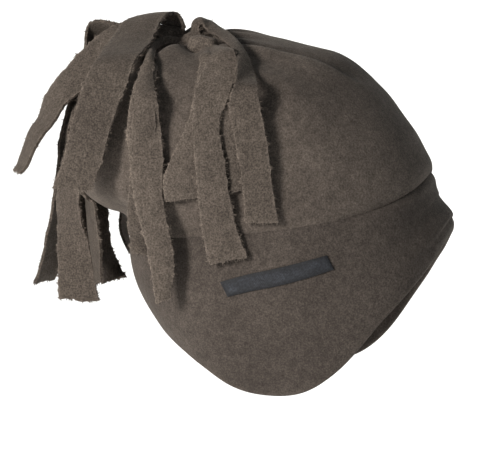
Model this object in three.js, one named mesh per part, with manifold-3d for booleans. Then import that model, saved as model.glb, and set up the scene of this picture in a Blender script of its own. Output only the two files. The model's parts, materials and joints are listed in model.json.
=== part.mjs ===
import * as THREE from 'three';
import { ParametricGeometry } from 'three/addons/geometries/ParametricGeometry.js';
import { mergeVertices } from 'three/addons/utils/BufferGeometryUtils.js';
import Module from 'manifold-3d';

// Fleece hat with two ear flaps and a tied fringe of cut strips on top.
// Sizes are in millimetres. +X is the front, -Y the wearer's right, +Z up.
// The origin is where the top of the head rests inside the crown.

const wasm = await Module();
wasm.setup();

const DEG = Math.PI / 180;
const GAP = 0.35;
const FLEECE = 2.2;
const FINE = 0.1;

// General helpers

function smooth(low, high, value) {
  const t = Math.min(1, Math.max(0, (value - low) / (high - low)));
  return t * t * (3 - 2 * t);
}

function mix(a, b, t) {
  return a + (b - a) * t;
}

function hill(value, spread) {
  return Math.exp(-((value / spread) ** 2));
}

// Rounded square wave: the plan of the hat is a little fuller than an ellipse.
function full(value, power) {
  return Math.sign(value) * Math.abs(value) ** power;
}

function softAbs(value) {
  return Math.sqrt(value * value + 0.03) - Math.sqrt(0.03);
}

// Signed angle from one direction round the hat to another, in degrees.
function turn(angle, from) {
  return ((((angle - from) % 360) + 540) % 360) - 180;
}

// Crown rows from the seam up to the gathered neck.
// front and back lie on the middle plane, half is the half width,
// sag is how far the sides hang below the line from front to back.
const CROWN_ROWS = [
  { frontX: 92, frontZ: -78, backX: -121, backZ: -122, half: 86, sag: 27 },
  { frontX: 88, frontZ: -65, backX: -125, backZ: -110, half: 88, sag: 25 },
  { frontX: 81, frontZ: -50, backX: -140, backZ: -105, half: 88, sag: 21 },
  { frontX: 69, frontZ: -34, backX: -158, backZ: -91, half: 87, sag: 17 },
  { frontX: 54, frontZ: -17, backX: -167, backZ: -66, half: 84, sag: 12 },
  { frontX: 29, frontZ: -1, backX: -162, backZ: -38, half: 77, sag: 8 },
  { frontX: -2, frontZ: 7, backX: -143, backZ: -15, half: 65, sag: 5 },
  { frontX: -33, frontZ: 13, backX: -116, backZ: 1, half: 47, sag: 3 },
  { frontX: -54, frontZ: 16, backX: -94, backZ: 9, half: 26, sag: 1 },
  { frontX: -64, frontZ: 20, backX: -82, backZ: 15, half: 10.5, sag: 0 },
];
const PLAN_POWER = 0.88;

// Rim of the band by direction round the hat, the same on both sides.
const RIM_ROWS = [
  { angle: 0, x: 109, side: 0, z: -119 },
  { angle: 14, x: 105, side: 24, z: -125 },
  { angle: 25, x: 98, side: 40, z: -136 },
  { angle: 40, x: 84, side: 58, z: -154 },
  { angle: 55, x: 64, side: 68, z: -177 },
  { angle: 70, x: 39, side: 71, z: -206 },
  { angle: 82, x: 15, side: 71, z: -223 },
  { angle: 95, x: -11, side: 69, z: -227 },
  { angle: 110, x: -36, side: 67, z: -222 },
  { angle: 125, x: -59, side: 60, z: -209 },
  { angle: 142, x: -82, side: 46, z: -196 },
  { angle: 160, x: -98, side: 25, z: -188 },
  { angle: 180, x: -105, side: 0, z: -186 },
];
// The flap on the wearer's left hangs further forward.
const LEFT_FLAP = { at: 85, spread: 45, forward: 15 };

// Folds in the crown: where they lie round it, how wide, how high, and from which row up.
const CROWN_FOLDS = [
  { at: -22, spread: 8, height: 4, from: 0.4, to: 0.55 },
  { at: -7, spread: 8, height: -5.5, from: 0.42, to: 0.56 },
  { at: 9, spread: 9, height: 3.5, from: 0.42, to: 0.56 },
  { at: -44, spread: 10, height: -2.5, from: 0.5, to: 0.7 },
  { at: -80, spread: 12, height: -3.5, from: 0.5, to: 0.7 },
  { at: -102, spread: 10, height: 3, from: 0.5, to: 0.7 },
  { at: -128, spread: 11, height: -4, from: 0.45, to: 0.65 },
  { at: 45, spread: 12, height: -4, from: 0.45, to: 0.65 },
  { at: 72, spread: 11, height: 3.5, from: 0.45, to: 0.65 },
  { at: 100, spread: 12, height: -4, from: 0.45, to: 0.65 },
  { at: 135, spread: 12, height: 3, from: 0.45, to: 0.65 },
  { at: 168, spread: 12, height: -3.5, from: 0.45, to: 0.65 },
];
// Soft dents where the bag sinks in on the wearer's right.
const CROWN_DENTS = [
  { at: -64, wide: 9, up: 0.48, tall: 0.07, height: -3 },
  { at: -52, wide: 8, up: 0.5, tall: 0.08, height: 2 },
  { at: -140, wide: 14, up: 0.2, tall: 0.08, height: -4 },
  { at: -85, wide: 45, up: 0.92, tall: 0.09, height: -6 },
];
const GATHER_COUNT = 15;
const GATHER_DEPTH = 1.1;

const crownFront = new THREE.CatmullRomCurve3(
  CROWN_ROWS.map((row) => new THREE.Vector3(row.frontX, 0, row.frontZ)),
);
const crownBack = new THREE.CatmullRomCurve3(
  CROWN_ROWS.map((row) => new THREE.Vector3(row.backX, 0, row.backZ)),
);
const crownSide = new THREE.CatmullRomCurve3(
  CROWN_ROWS.map((row) => new THREE.Vector3(row.half, row.sag, 0)),
);

// Point of the crown without folds. Angles are degrees from the front, + towards +Y.
function crownForm(angle, up) {
  const front = crownFront.getPoint(up);
  const back = crownBack.getPoint(up);
  const side = crownSide.getPoint(up);
  const along = full(Math.cos(angle * DEG), PLAN_POWER);
  const across = full(Math.sin(angle * DEG), PLAN_POWER);
  const point = back.lerp(front, (1 + along) / 2);
  point.y = side.x * across;
  point.z -= side.y * softAbs(across) * (0.6 + 0.4 * along);
  return point;
}

function rimValue(angle, column) {
  const place = Math.abs(turn(angle, 0));
  let i = 0;
  while (i < RIM_ROWS.length - 2 && place > RIM_ROWS[i + 1].angle) i += 1;
  const odd = column === 'side' ? -1 : 1;
  const mirrored = (index) => {
    if (index < 0) {
      return { angle: -RIM_ROWS[1].angle, value: odd * RIM_ROWS[1][column] };
    }
    if (index >= RIM_ROWS.length) {
      const near = RIM_ROWS[RIM_ROWS.length - 2];
      return { angle: 360 - near.angle, value: odd * near[column] };
    }
    return { angle: RIM_ROWS[index].angle, value: RIM_ROWS[index][column] };
  };
  const [a, b, c, d] = [i - 1, i, i + 1, i + 2].map(mirrored);
  const step = c.angle - b.angle;
  const t = (place - b.angle) / step;
  const slopeB = ((c.value - a.value) / (c.angle - a.angle)) * step;
  const slopeC = ((d.value - b.value) / (d.angle - b.angle)) * step;
  const t2 = t * t;
  const t3 = t2 * t;
  return (
    (2 * t3 - 3 * t2 + 1) * b.value +
    (t3 - 2 * t2 + t) * slopeB +
    (3 * t2 - 2 * t3) * c.value +
    (t3 - t2) * slopeC
  );
}

function rimPoint(angle) {
  const hand = Math.sign(turn(angle, 0));
  const forward = LEFT_FLAP.forward * hill(turn(angle, LEFT_FLAP.at), LEFT_FLAP.spread);
  return new THREE.Vector3(
    rimValue(angle, 'x') + forward,
    hand * rimValue(angle, 'side'),
    rimValue(angle, 'z'),
  );
}

// Point of the band: 0 is the seam, 1 the rim. The front edge flares out to a lip.
const BAND_BULGE = { front: 1, side: 6, back: 8 };
const LIP = { from: 0.38, to: 0.72, spread: 52 };

function bandForm(angle, down) {
  const top = crownForm(angle, 0);
  const rim = rimPoint(angle);
  const facing = turn(angle, 0);
  const lip = hill(facing, LIP.spread);
  const reach = mix(down, smooth(LIP.from, LIP.to, down), lip);
  const point = new THREE.Vector3(
    mix(top.x, rim.x, reach),
    mix(top.y, rim.y, reach),
    mix(top.z, rim.z, down),
  );
  const sideways = Math.sin(angle * DEG) ** 2;
  const ends = Math.cos(angle * DEG) > 0 ? BAND_BULGE.front : BAND_BULGE.back;
  const bulge = mix(ends, BAND_BULGE.side, sideways) * 4 * down * (1 - down);
  point.x += bulge * Math.cos(angle * DEG);
  point.y += bulge * Math.sin(angle * DEG);
  return point;
}

// Outward normal of a form that runs round the hat and along it.
function outward(form, angle, along, sense) {
  const a = form(angle + 0.5, along).sub(form(angle - 0.5, along));
  const low = Math.max(0, along - 0.01);
  const high = Math.min(1, along + 0.01);
  const b = form(angle, high).sub(form(angle, low));
  return a.cross(b).multiplyScalar(sense).normalize();
}

// The seam pinches both cloths a little inwards.
const PINCH = { depth: 1.6, reach: 5 };

function crownFolds(angle, up) {
  let sum = 0;
  for (const fold of CROWN_FOLDS) {
    const rise = smooth(fold.from, fold.to, up) * (1 - 0.75 * smooth(0.84, 1, up));
    sum += fold.height * hill(turn(angle, fold.at), fold.spread) * rise;
  }
  for (const dent of CROWN_DENTS) {
    sum += dent.height * hill(turn(angle, dent.at), dent.wide) * hill(up - dent.up, dent.tall);
  }
  const gather = Math.cos(angle * DEG * GATHER_COUNT) * GATHER_DEPTH;
  return sum + gather * smooth(0.72, 0.88, up) * (1 - 0.5 * smooth(0.92, 1, up));
}

// At the seam both cloths turn the same way, half way between their own directions.
function seamNormal(angle) {
  return outward(crownForm, angle, 0.02, 1).add(outward(bandForm, angle, 0.04, -1)).normalize();
}

function crownPoint(angle, up, out) {
  const point = crownForm(angle, up);
  const normal = outward(crownForm, angle, up, 1);
  normal.lerp(seamNormal(angle), hill(up, 0.03)).normalize();
  const pinch = PINCH.depth * hill(up * 150, PINCH.reach);
  return point.addScaledVector(normal, crownFolds(angle, up) - pinch + out);
}

function bandPoint(angle, down, out) {
  const point = bandForm(angle, down);
  const normal = outward(bandForm, angle, down, -1);
  normal.lerp(seamNormal(angle), hill(down, 0.06)).normalize();
  const pinch = PINCH.depth * hill(down * 75, PINCH.reach);
  return point.addScaledVector(normal, out - pinch);
}

// Builds a solid from a closed grid: stations run along a section, slices run round.
function gridSolid(slices, stations, at) {
  const last = stations.length - 1;
  const geometry = new ParametricGeometry(
    (u, v, target) => target.copy(at(Math.round(u * slices) % slices, stations[Math.round(v * last)])),
    slices,
    last,
  );
  return toSolid(geometry);
}

function toSolid(geometry) {
  geometry.deleteAttribute('normal');
  geometry.deleteAttribute('uv');
  const merged = mergeVertices(geometry, 1e-3);
  const flat = merged.index.array;
  const faces = [];
  for (let i = 0; i < flat.length; i += 3) {
    const [a, b, c] = [flat[i], flat[i + 1], flat[i + 2]];
    if (a !== b && b !== c && c !== a) faces.push(a, b, c);
  }
  const build = (order) => new wasm.Manifold(
    new wasm.Mesh({
      numProp: 3,
      vertProperties: new Float32Array(merged.attributes.position.array),
      triVerts: new Uint32Array(order),
    }),
  );
  const solid = build(faces);
  if (solid.volume() > 0) return solid;
  const flipped = [];
  for (let i = 0; i < faces.length; i += 3) flipped.push(faces[i], faces[i + 2], faces[i + 1]);
  return build(flipped);
}

function toMesh(solid, name, color, roughness) {
  const data = solid.getMesh();
  const geometry = new THREE.BufferGeometry();
  geometry.setAttribute('position', new THREE.BufferAttribute(new Float32Array(data.vertProperties), 3));
  geometry.setIndex(new THREE.BufferAttribute(new Uint32Array(data.triVerts), 1));
  geometry.computeVertexNormals();
  const mesh = new THREE.Mesh(geometry, new THREE.MeshStandardMaterial({ color, roughness }));
  mesh.name = name;
  return mesh;
}

// Crown: one layer of cloth, closed at the neck, open at the seam.
const CROWN_SLICES = 72;
const CROWN_OUTER = [1, 0.94, 0.88, 0.82, 0.75, 0.67, 0.58, 0.49, 0.4, 0.31, 0.22, 0.13, 0.05, 0];
const CROWN_INNER = [0, 0.06, 0.16, 0.27, 0.38, 0.49, 0.6, 0.7, 0.78];
const NECK = new THREE.Vector3(-73, 0, 17.8);

function crownSolid(grow) {
  const hollowTop = crownForm(0, 0.8).lerp(crownForm(180, 0.8), 0.5);
  const stations = [{ pole: NECK.clone().add(new THREE.Vector3(0, 0, grow)) }];
  for (const up of CROWN_OUTER) stations.push({ up, out: grow, drop: up === 0 ? grow : 0 });
  for (const up of CROWN_INNER) stations.push({ up, out: -FLEECE - grow, drop: up === 0 ? grow : 0 });
  stations.push({ pole: hollowTop });
  return gridSolid(CROWN_SLICES, stations, (slice, station) => {
    if (station.pole) return station.pole;
    const point = crownPoint((slice / CROWN_SLICES) * 360, station.up, station.out);
    point.z -= station.drop;
    return point;
  });
}

// Band: cloth from the seam to the rim, turned up inside as a hem.
const BAND_SLICES = 72;
const HEM = { height: 12, thick: 4.2 };
const BAND_OUTER = [0, 0.06, 0.18, 0.34, 0.5, 0.62, 0.76, 0.9];
const BAND_INNER = [0.66, 0.4, 0.15, 0];

function bandDepth(angle) {
  return bandForm(angle, 0).z - rimPoint(angle).z;
}

function bandSolid(grow) {
  const stations = [];
  for (const down of BAND_OUTER) stations.push({ down, out: grow, lift: down === 0 ? grow - GAP : 0 });
  stations.push({ short: 0.8, out: grow - 0.2 });
  stations.push({ short: 0, out: grow - HEM.thick * 0.35 });
  stations.push({ short: 0.8, out: 0.2 - HEM.thick - grow });
  stations.push({ short: HEM.height - 1, out: -HEM.thick - grow });
  stations.push({ short: HEM.height + 1, out: -FLEECE - grow });
  for (const down of BAND_INNER) {
    stations.push({ down, out: -FLEECE - grow, lift: down === 0 ? grow - GAP : 0 });
  }
  stations.push(stations[0]);
  return gridSolid(BAND_SLICES, stations, (slice, station) => {
    const angle = (slice / BAND_SLICES) * 360;
    const depth = bandDepth(angle);
    const down = station.down ?? 1 - station.short / depth;
    const hemTop = 1 - (HEM.height + 2) / depth;
    const place = station.out < -1 && station.down ? Math.min(down, hemTop * station.down / 0.72) : down;
    const point = bandPoint(angle, place, station.out);
    point.z += station.lift ?? 0;
    return point;
  });
}

// Label: bare woven tape sewn flat on the band, by its corners on the band.
const LABEL = {
  thick: 0.9,
  front: { angle: -69, top: 0.21, bottom: 0.32 },
  back: { angle: -103, top: 0.28, bottom: 0.37 },
  columns: 14,
};

function labelSolid() {
  const { columns, thick, front, back } = LABEL;
  const section = [
    [0, 0],
    [0, 1],
    [1, 1],
    [1, 0],
    [0, 0],
  ];
  const geometry = new ParametricGeometry((u, v, target) => {
    const column = Math.round(v * (columns + 2));
    const [low, outer] = section[Math.round(u * 4)];
    const t = Math.min(1, Math.max(0, (column - 1) / columns));
    const angle = mix(back.angle, front.angle, t);
    const top = mix(back.top, front.top, t);
    const bottom = mix(back.bottom, front.bottom, t);
    const cap = column === 0 || column === columns + 2;
    const down = cap ? (top + bottom) / 2 : mix(top, bottom, low);
    const out = GAP + thick * (cap ? 0.5 : outer);
    target.copy(bandPoint(angle, down, out));
  }, 4, columns + 2);
  return toSolid(geometry);
}

// Samples of the outer skin that the strips lie on.
const skin = [];
for (let angle = 0; angle < 360; angle += 7.5) {
  for (let up = 0.02; up < 0.99; up += 0.065) {
    skin.push({ point: crownPoint(angle, up, 0), normal: outward(crownForm, angle, up, 1) });
  }
  for (let down = 0.05; down < 1; down += 0.15) {
    skin.push({ point: bandPoint(angle, down, 0), normal: outward(bandForm, angle, down, -1) });
  }
}

// Moves a point out until it clears the skin by the given amount.
function clearSkin(point, clearance) {
  for (let pass = 0; pass < 2; pass += 1) {
    let nearest = skin[0];
    let best = Infinity;
    for (const sample of skin) {
      const distance = sample.point.distanceToSquared(point);
      if (distance < best) {
        best = distance;
        nearest = sample;
      }
    }
    const height = point.clone().sub(nearest.point).dot(nearest.normal);
    if (height < clearance && best < 60 * 60) point.addScaledVector(nearest.normal, clearance - height);
  }
  return point;
}

// Fringe: each strip leaves the neck in a heading and hangs by its own weight.
// out and up are measured from the root. swing is how far the heading drifts by the tip.
// rolls tilt the strip about its length, at the root, half way and at the tip.
const ROOT = new THREE.Vector3(-73, 0, 22);
const STRIPS = [
  { name: 's1', heading: -177, swing: 6, crestOut: 45, crestUp: -9, bendOut: 94, bendUp: -36,
    tipOut: 132, tipUp: -99, wide: 27, rolls: [60, 72, 8], lift: 2 },
  { name: 's2', heading: 172, swing: 2, crestOut: 69, crestUp: -8, bendOut: 99, bendUp: -64,
    tipOut: 117, tipUp: -186, wide: 24, rolls: [60, 60, 50], lift: 1 },
  { name: 's3', heading: -168, swing: 28, crestOut: 37, crestUp: 6, bendOut: 72, bendUp: -39,
    tipOut: 103, tipUp: -115, wide: 29, rolls: [-20, -66, -56], lift: 5 },
  { name: 's4', heading: -118, swing: 24, crestOut: 40, crestUp: -18, bendOut: 71, bendUp: -63,
    tipOut: 74, tipUp: -187, wide: 24, rolls: [60, 0, 52], lift: 5 },
  { name: 's9', heading: -182, swing: 11, crestOut: 55, crestUp: -13, bendOut: 89, bendUp: -62,
    tipOut: 91, tipUp: -197, wide: 28, rolls: [60, 62, 62], lift: 2 },
  { name: 's10', heading: 158, swing: 17, crestOut: 56, crestUp: -12, bendOut: 84, bendUp: -77,
    tipOut: 69, tipUp: -185, wide: 25, rolls: [50, 60, 60], lift: 1 },
  { name: 's11', heading: 151, swing: 1, crestOut: 55, crestUp: -13, bendOut: 78, bendUp: -82,
    tipOut: 76, tipUp: -168, wide: 25, rolls: [10, 0, -10], lift: 1 },
  { name: 's12', heading: -127, swing: 17, crestOut: 35, crestUp: -20, bendOut: 75, bendUp: -74,
    tipOut: 78, tipUp: -155, wide: 20, rolls: [20, 0, 30], lift: 1 },
  { name: 's13', heading: 126, swing: 1, crestOut: 46, crestUp: -12, bendOut: 86, bendUp: -64,
    tipOut: 92, tipUp: -165, wide: 26, rolls: [0, 0, 0], lift: 1 },
  { name: 's14', heading: 106, swing: 0, crestOut: 44, crestUp: -20, bendOut: 88, bendUp: -62,
    tipOut: 94, tipUp: -148, wide: 27, rolls: [0, 0, 8], lift: 4 },
  { name: 's15', heading: 84, swing: 0, crestOut: 44, crestUp: -22, bendOut: 92, bendUp: -62,
    tipOut: 99, tipUp: -174, wide: 26, rolls: [0, 0, -6], lift: 1 },
  { name: 's16', heading: 62, swing: 0, crestOut: 46, crestUp: -20, bendOut: 96, bendUp: -62,
    tipOut: 103, tipUp: -132, wide: 27, rolls: [0, 0, 0], lift: 4 },
  { name: 's17', heading: 44, swing: 4, crestOut: 48, crestUp: -16, bendOut: 104, bendUp: -60,
    tipOut: 112, tipUp: -154, wide: 25, rolls: [0, 0, 0], lift: 1 },
];
// Ends of the tie, from the knot. The tail goes up round the loop first.
const TIE_ENDS = [
  { name: 'tail', heading: -72, swing: 17, rootOut: 16, rootUp: -10, crestOut: 12, crestUp: 5,
    bendOut: 76, bendUp: -27, tipOut: 114, tipUp: -127, wide: 24, rolls: [0, 0, -12], lift: 6 },
  { name: 's6', heading: -68, swing: 3, rootOut: 17, rootUp: -9, crestOut: 38, crestUp: -21,
    bendOut: 92, bendUp: -61, tipOut: 102, tipUp: -153, wide: 27, rolls: [0, 0, -8], lift: 4 },
  { name: 's5', heading: -68, swing: -16, rootOut: 17, rootUp: -9, crestOut: 43, crestUp: -26,
    bendOut: 88, bendUp: -65, tipOut: 93, tipUp: -114, wide: 24, rolls: [0, 0, 0], lift: 1 },
  { name: 's8', heading: -54, swing: -9, rootOut: 17, rootUp: -9, crestOut: 46, crestUp: -19,
    bendOut: 93, bendUp: -61, tipOut: 99, tipUp: -108, wide: 25, rolls: [0, 0, -8], lift: 1 },
];
const STRIP_STEPS = 8;
const DRAPE_GAP = 1.7;

function stripCurve(row) {
  const stations = [
    { out: row.rootOut ?? 3, up: row.rootUp ?? 2, t: 0 },
    { out: row.crestOut, up: row.crestUp, t: 0.22 },
    { out: row.bendOut, up: row.bendUp, t: 0.55 },
    { out: row.tipOut, up: row.tipUp, t: 1 },
  ];
  return new THREE.CatmullRomCurve3(
    stations.map(({ out, up, t }) => {
      const heading = (row.heading + row.swing * t) * DEG;
      return new THREE.Vector3(
        ROOT.x + out * Math.cos(heading),
        ROOT.y + out * Math.sin(heading),
        ROOT.z + up,
      );
    }),
    false,
    'centripetal',
  );
}

// Solid of one strip: a sheet laid clear of the skin, then thickened.
function stripSolid(row, grow) {
  const curve = stripCurve(row);
  const edges = [-0.5, 0.5];
  const sheet = [];
  for (let i = 0; i <= STRIP_STEPS; i += 1) {
    const t = i / STRIP_STEPS;
    const centre = curve.getPointAt(t);
    const tangent = curve.getTangentAt(t);
    const heading = (row.heading + row.swing * t) * DEG;
    const side = new THREE.Vector3(-Math.sin(heading), Math.cos(heading), 0);
    side.addScaledVector(tangent, -side.dot(tangent)).normalize();
    const normal = new THREE.Vector3().crossVectors(tangent, side);
    const [rollRoot, rollMiddle, rollTip] = row.rolls;
    const roll = mix(mix(rollRoot, rollMiddle, smooth(0.05, 0.45, t)), rollTip, smooth(0.5, 1, t)) * DEG;
    const across = side.clone().multiplyScalar(Math.cos(roll)).addScaledVector(normal, Math.sin(roll));
    const spread = (row.wide + 2 * grow) * mix(0.4, 1, smooth(0, 0.3, t));
    sheet.push(edges.map((k) => {
      const point = centre.clone().addScaledVector(across, k * spread);
      return i < 1 ? point : clearSkin(point, row.lift * smooth(0.1, 0.4, t) + DRAPE_GAP);
    }));
  }
  const place = (i, j, side) => {
    const before = sheet[Math.max(0, i - 1)][j];
    const after = sheet[Math.min(STRIP_STEPS, i + 1)][j];
    const left = sheet[i][Math.max(0, j - 1)];
    const right = sheet[i][Math.min(1, j + 1)];
    const run = after.clone().sub(before);
    const normal = run.clone().cross(right.clone().sub(left)).normalize();
    const end = (i === 0 ? -1 : i === STRIP_STEPS ? 1 : 0) * grow;
    return sheet[i][j].clone()
      .addScaledVector(normal, side > 0 ? FLEECE + grow : -grow)
      .addScaledVector(run.normalize(), end);
  };
  const section = [[0, 0], [1, 0], [1, 1], [0, 1], [0, 0]];
  const rows = STRIP_STEPS + 2;
  const geometry = new ParametricGeometry((u, v, target) => {
    const station = Math.round(v * rows);
    const [j, side] = section[Math.round(u * 4)];
    const i = Math.min(STRIP_STEPS, Math.max(0, station - 1));
    if (station === 0 || station === rows) {
      target.copy(place(i, 0, 0)).lerp(place(i, 1, 1), 0.5);
    } else {
      target.copy(place(i, j, side));
    }
  }, 4, rows);
  return toSolid(geometry);
}

// Gathered core that the strips spring from, just over the neck of the crown.
const CORE = { radius: 9.5, height: 6.5, base: 0.6 };

function ellipsoid(radii, centre, tilt) {
  const geometry = new THREE.SphereGeometry(1, 14, 8);
  geometry.scale(radii[0], radii[1], radii[2]);
  geometry.rotateY(tilt * DEG);
  geometry.translate(centre.x, centre.y, centre.z);
  return toSolid(geometry);
}

function fringeSolid(grow) {
  const centre = new THREE.Vector3(NECK.x, 0, NECK.z + CORE.base + CORE.height * 0.8);
  const parts = [ellipsoid([CORE.radius + grow, CORE.radius + grow, CORE.height + grow], centre, 0)];
  for (const row of STRIPS) parts.push(stripSolid(row, grow));
  return wasm.Manifold.union(parts);
}

// Tie: a wrap round the neck, a knot on the wearer's right and the ends that hang from it.
const WRAP = { radius: 13, thick: 3.2, tilt: -14, low: 1.5 };
const KNOT = { radii: [9.5, 6.5, 7], x: -68, y: -17, z: 12 };

function tieSolid(grow) {
  const ring = new THREE.TorusGeometry(WRAP.radius, WRAP.thick + grow, 8, 20);
  ring.rotateY(WRAP.tilt * DEG);
  ring.translate(NECK.x, NECK.y, NECK.z - WRAP.low);
  const knot = ellipsoid(KNOT.radii.map((r) => r + grow), new THREE.Vector3(KNOT.x, KNOT.y, KNOT.z), 18);
  const ends = TIE_ENDS.map((row) => stripSolid(row, grow));
  return wasm.Manifold.union([toSolid(ring), knot, ...ends]);
}

// Keeps the body of a cut solid and drops loose slivers.
function mainBody(solid) {
  return solid.decompose().reduce((a, b) => (a.volume() > b.volume() ? a : b));
}

const crown = crownSolid(0);
const band = bandSolid(0);
const label = labelSolid();
const wide = crownSolid(GAP);
const tie = mainBody(tieSolid(0).subtract(wide)).simplify(FINE);
const trimmed = fringeSolid(0).subtract(tieSolid(GAP)).subtract(wide).subtract(bandSolid(GAP));
const fringe = mainBody(trimmed).simplify(FINE);

const hat = new THREE.Group();
hat.name = 'earflap_hat';
hat.add(
  toMesh(crown, 'crown', 0x453b35, 0.95),
  toMesh(band, 'band', 0x4b413a, 0.95),
  toMesh(label, 'label', 0x1b1d24, 0.8),
  toMesh(fringe, 'fringe', 0x5a4d44, 0.95),
  toMesh(tie, 'tie', 0x61544a, 0.95),
);

export default hat;
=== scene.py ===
import json
import math

import bmesh
import bpy
import numpy as np
from bpy.props import (
    FloatProperty,
    FloatVectorProperty,
    IntProperty,
    PointerProperty,
)
from mathutils import Matrix, Vector, noise
from mathutils.bvhtree import BVHTree

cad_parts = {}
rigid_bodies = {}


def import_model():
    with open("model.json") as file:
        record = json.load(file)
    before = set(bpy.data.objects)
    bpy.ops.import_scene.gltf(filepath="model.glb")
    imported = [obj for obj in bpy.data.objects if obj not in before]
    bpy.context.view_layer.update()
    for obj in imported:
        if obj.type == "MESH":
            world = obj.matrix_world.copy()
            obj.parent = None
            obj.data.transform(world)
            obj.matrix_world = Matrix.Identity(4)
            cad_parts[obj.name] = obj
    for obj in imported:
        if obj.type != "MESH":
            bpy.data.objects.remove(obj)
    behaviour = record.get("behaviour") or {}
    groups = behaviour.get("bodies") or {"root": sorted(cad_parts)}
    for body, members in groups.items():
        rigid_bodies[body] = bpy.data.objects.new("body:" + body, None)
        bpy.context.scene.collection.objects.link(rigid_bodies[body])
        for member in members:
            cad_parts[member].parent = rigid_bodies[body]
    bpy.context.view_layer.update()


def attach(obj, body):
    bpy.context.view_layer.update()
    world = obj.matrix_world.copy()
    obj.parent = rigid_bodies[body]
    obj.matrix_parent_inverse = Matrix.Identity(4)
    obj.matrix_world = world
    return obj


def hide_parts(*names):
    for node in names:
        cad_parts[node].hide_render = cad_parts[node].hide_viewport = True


bl_info = {
    "name": "Earflap hat",
    "version": (1, 0, 0),
    "blender": (4, 5, 0),
    "location": "View3D > Sidebar > Hat",
    "description": "Fleece hat with two ear flaps and a tied fringe of cut strips",
    "category": "Object",
}

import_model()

MM = 0.001

# Shape of the hat, in millimetres.
# +X is the front, -Y the wearer's right, +Z up.

# Crown rows from the seam up to the neck: where the front and the back lie on the
# middle plane, the half width, and how far the sides sag below the line between them.
# Columns: front x, front z, back x, back z, half width, sag.
CROWN_ROWS = np.array([
    (92, -78, -121, -122, 86, 27),
    (88, -65, -125, -110, 88, 25),
    (81, -50, -140, -105, 88, 21),
    (69, -34, -158, -91, 87, 17),
    (54, -17, -167, -66, 84, 12),
    (29, -1, -162, -38, 77, 8),
    (-2, 7, -143, -15, 65, 5),
    (-33, 13, -116, 1, 47, 3),
    (-54, 16, -94, 9, 26, 1),
    (-64, 20, -82, 15, 10.5, 0),
])
PLAN_POWER = 0.88
NECK = np.array([-73.0, 0.0, 17.8])
# Share of the crown's cloth up to the gathers, and how far its end drops inside them.
CROWN_CLOSE = {"share": 0.97, "drop": 1.5}

# Rim of the band by direction round the hat: angle, x, side and z.
RIM_ROWS = np.array([
    (0, 109, 0, -119),
    (14, 105, 24, -125),
    (25, 98, 40, -136),
    (40, 84, 58, -154),
    (55, 64, 68, -177),
    (70, 39, 71, -206),
    (82, 15, 71, -223),
    (95, -11, 69, -227),
    (110, -36, 67, -222),
    (125, -59, 60, -209),
    (142, -82, 46, -196),
    (160, -98, 25, -188),
    (180, -105, 0, -186),
])
LEFT_FLAP = {"at": 85, "spread": 45, "forward": 15}
BAND_BULGE = {"front": 1, "side": 6, "back": 8}
LIP = {"low": 0.38, "high": 0.72, "spread": 52}

# Swells over the brow, with their middle in front: spread in degrees, row, spread over
# rows, and height, which is below 0 for a hollow. The hem draws in below them.
BROW_SWELLS = (
    (32, 0.16, 0.20, 2.6),
    (34, 0.40, 0.13, 4.0),
    (34, 0.74, 0.12, -3.2),
)
BROW_HEM = {"spread": 34, "row": 0.8, "depth": 1.4}

# Seam between crown and band: the cloth's height to either side of it, how deep and
# wide the broad and the sharp bite are, and the puckers between its stitches.
SEAM = {
    "crown_tall": 150,
    "band_tall": 75,
    "bites": ((1.6, 5), (1.2, 1.4)),
    "stitches": 118,
    "pucker": 0.16,
    "pucker_wide": 6,
}
# How far the crown's edge lies above the band's, in mm.
SEAM_GAP = 0.3

# Hem: the shares of the band's cloth down to the rim and up to the end of its roll, the
# roll's radius, and the gap between the turned cloth and the outer one.
HEM = {"outside": 0.78, "inside": 0.84, "roll": 1.0, "gap": 0.25}

# Folds of the crown: place round it, spread in degrees, height, and rows between
# which they rise.
CROWN_FOLDS = (
    (22, 30, 7.0, 0.42, 0.60),
    (-44, 10, -2.5, 0.50, 0.70),
    (-80, 12, -3.5, 0.50, 0.70),
    (-102, 10, 3.0, 0.50, 0.70),
    (-128, 11, -4.0, 0.45, 0.65),
    (45, 12, -4.0, 0.45, 0.65),
    (72, 11, 3.5, 0.45, 0.65),
    (100, 12, -4.0, 0.45, 0.65),
    (135, 12, 3.0, 0.45, 0.65),
    (168, 12, -3.5, 0.45, 0.65),
)
# Dents and swells: place round, spread, row, spread over rows, height.
CROWN_DENTS = (
    (-63, 6, 0.52, 0.045, -1.5),
    (-54, 8, 0.50, 0.07, 2.2),
    (0, 30, 0.04, 0.10, 2.4),
    (-140, 14, 0.20, 0.08, -4.0),
    (-85, 45, 0.92, 0.09, -6.0),
    (-96, 22, 0.80, 0.06, 2.5),
)

# Soft waves in the cloth: size in mm, seed, height, and the row where they are full.
CROWN_WAVES = ((46, 3, 1.6, 0.2), (17, 5, 0.5, 0.15))
BAND_WAVES = ((52, 8, 1.1, 0.25), (19, 9, 0.35, 0.2))
# Pleats where the crown is gathered: how many, how unevenly they lie, in degrees, and
# their height.
PLEATS = {"count": 15, "wander": 40, "tall": 1.3}

# The long ridge on the crown's near side: row and place round, in degrees.
RIDGE = np.array([
    (0.40, -6),
    (0.45, -11),
    (0.46, -16),
    (0.48, -19),
    (0.515, -23),
    (0.58, -26),
    (0.615, -27),
    (0.685, -31),
    (0.745, -35),
    (0.82, -43),
    (0.92, -52),
])
# Its spread toward the viewer and away, in degrees, its height, and the valley behind it.
RIDGE_FORM = {"near": 12, "far": 3.0, "tall": 3.4, "valley": 2.0, "behind": 8, "wide": 6}

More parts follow.
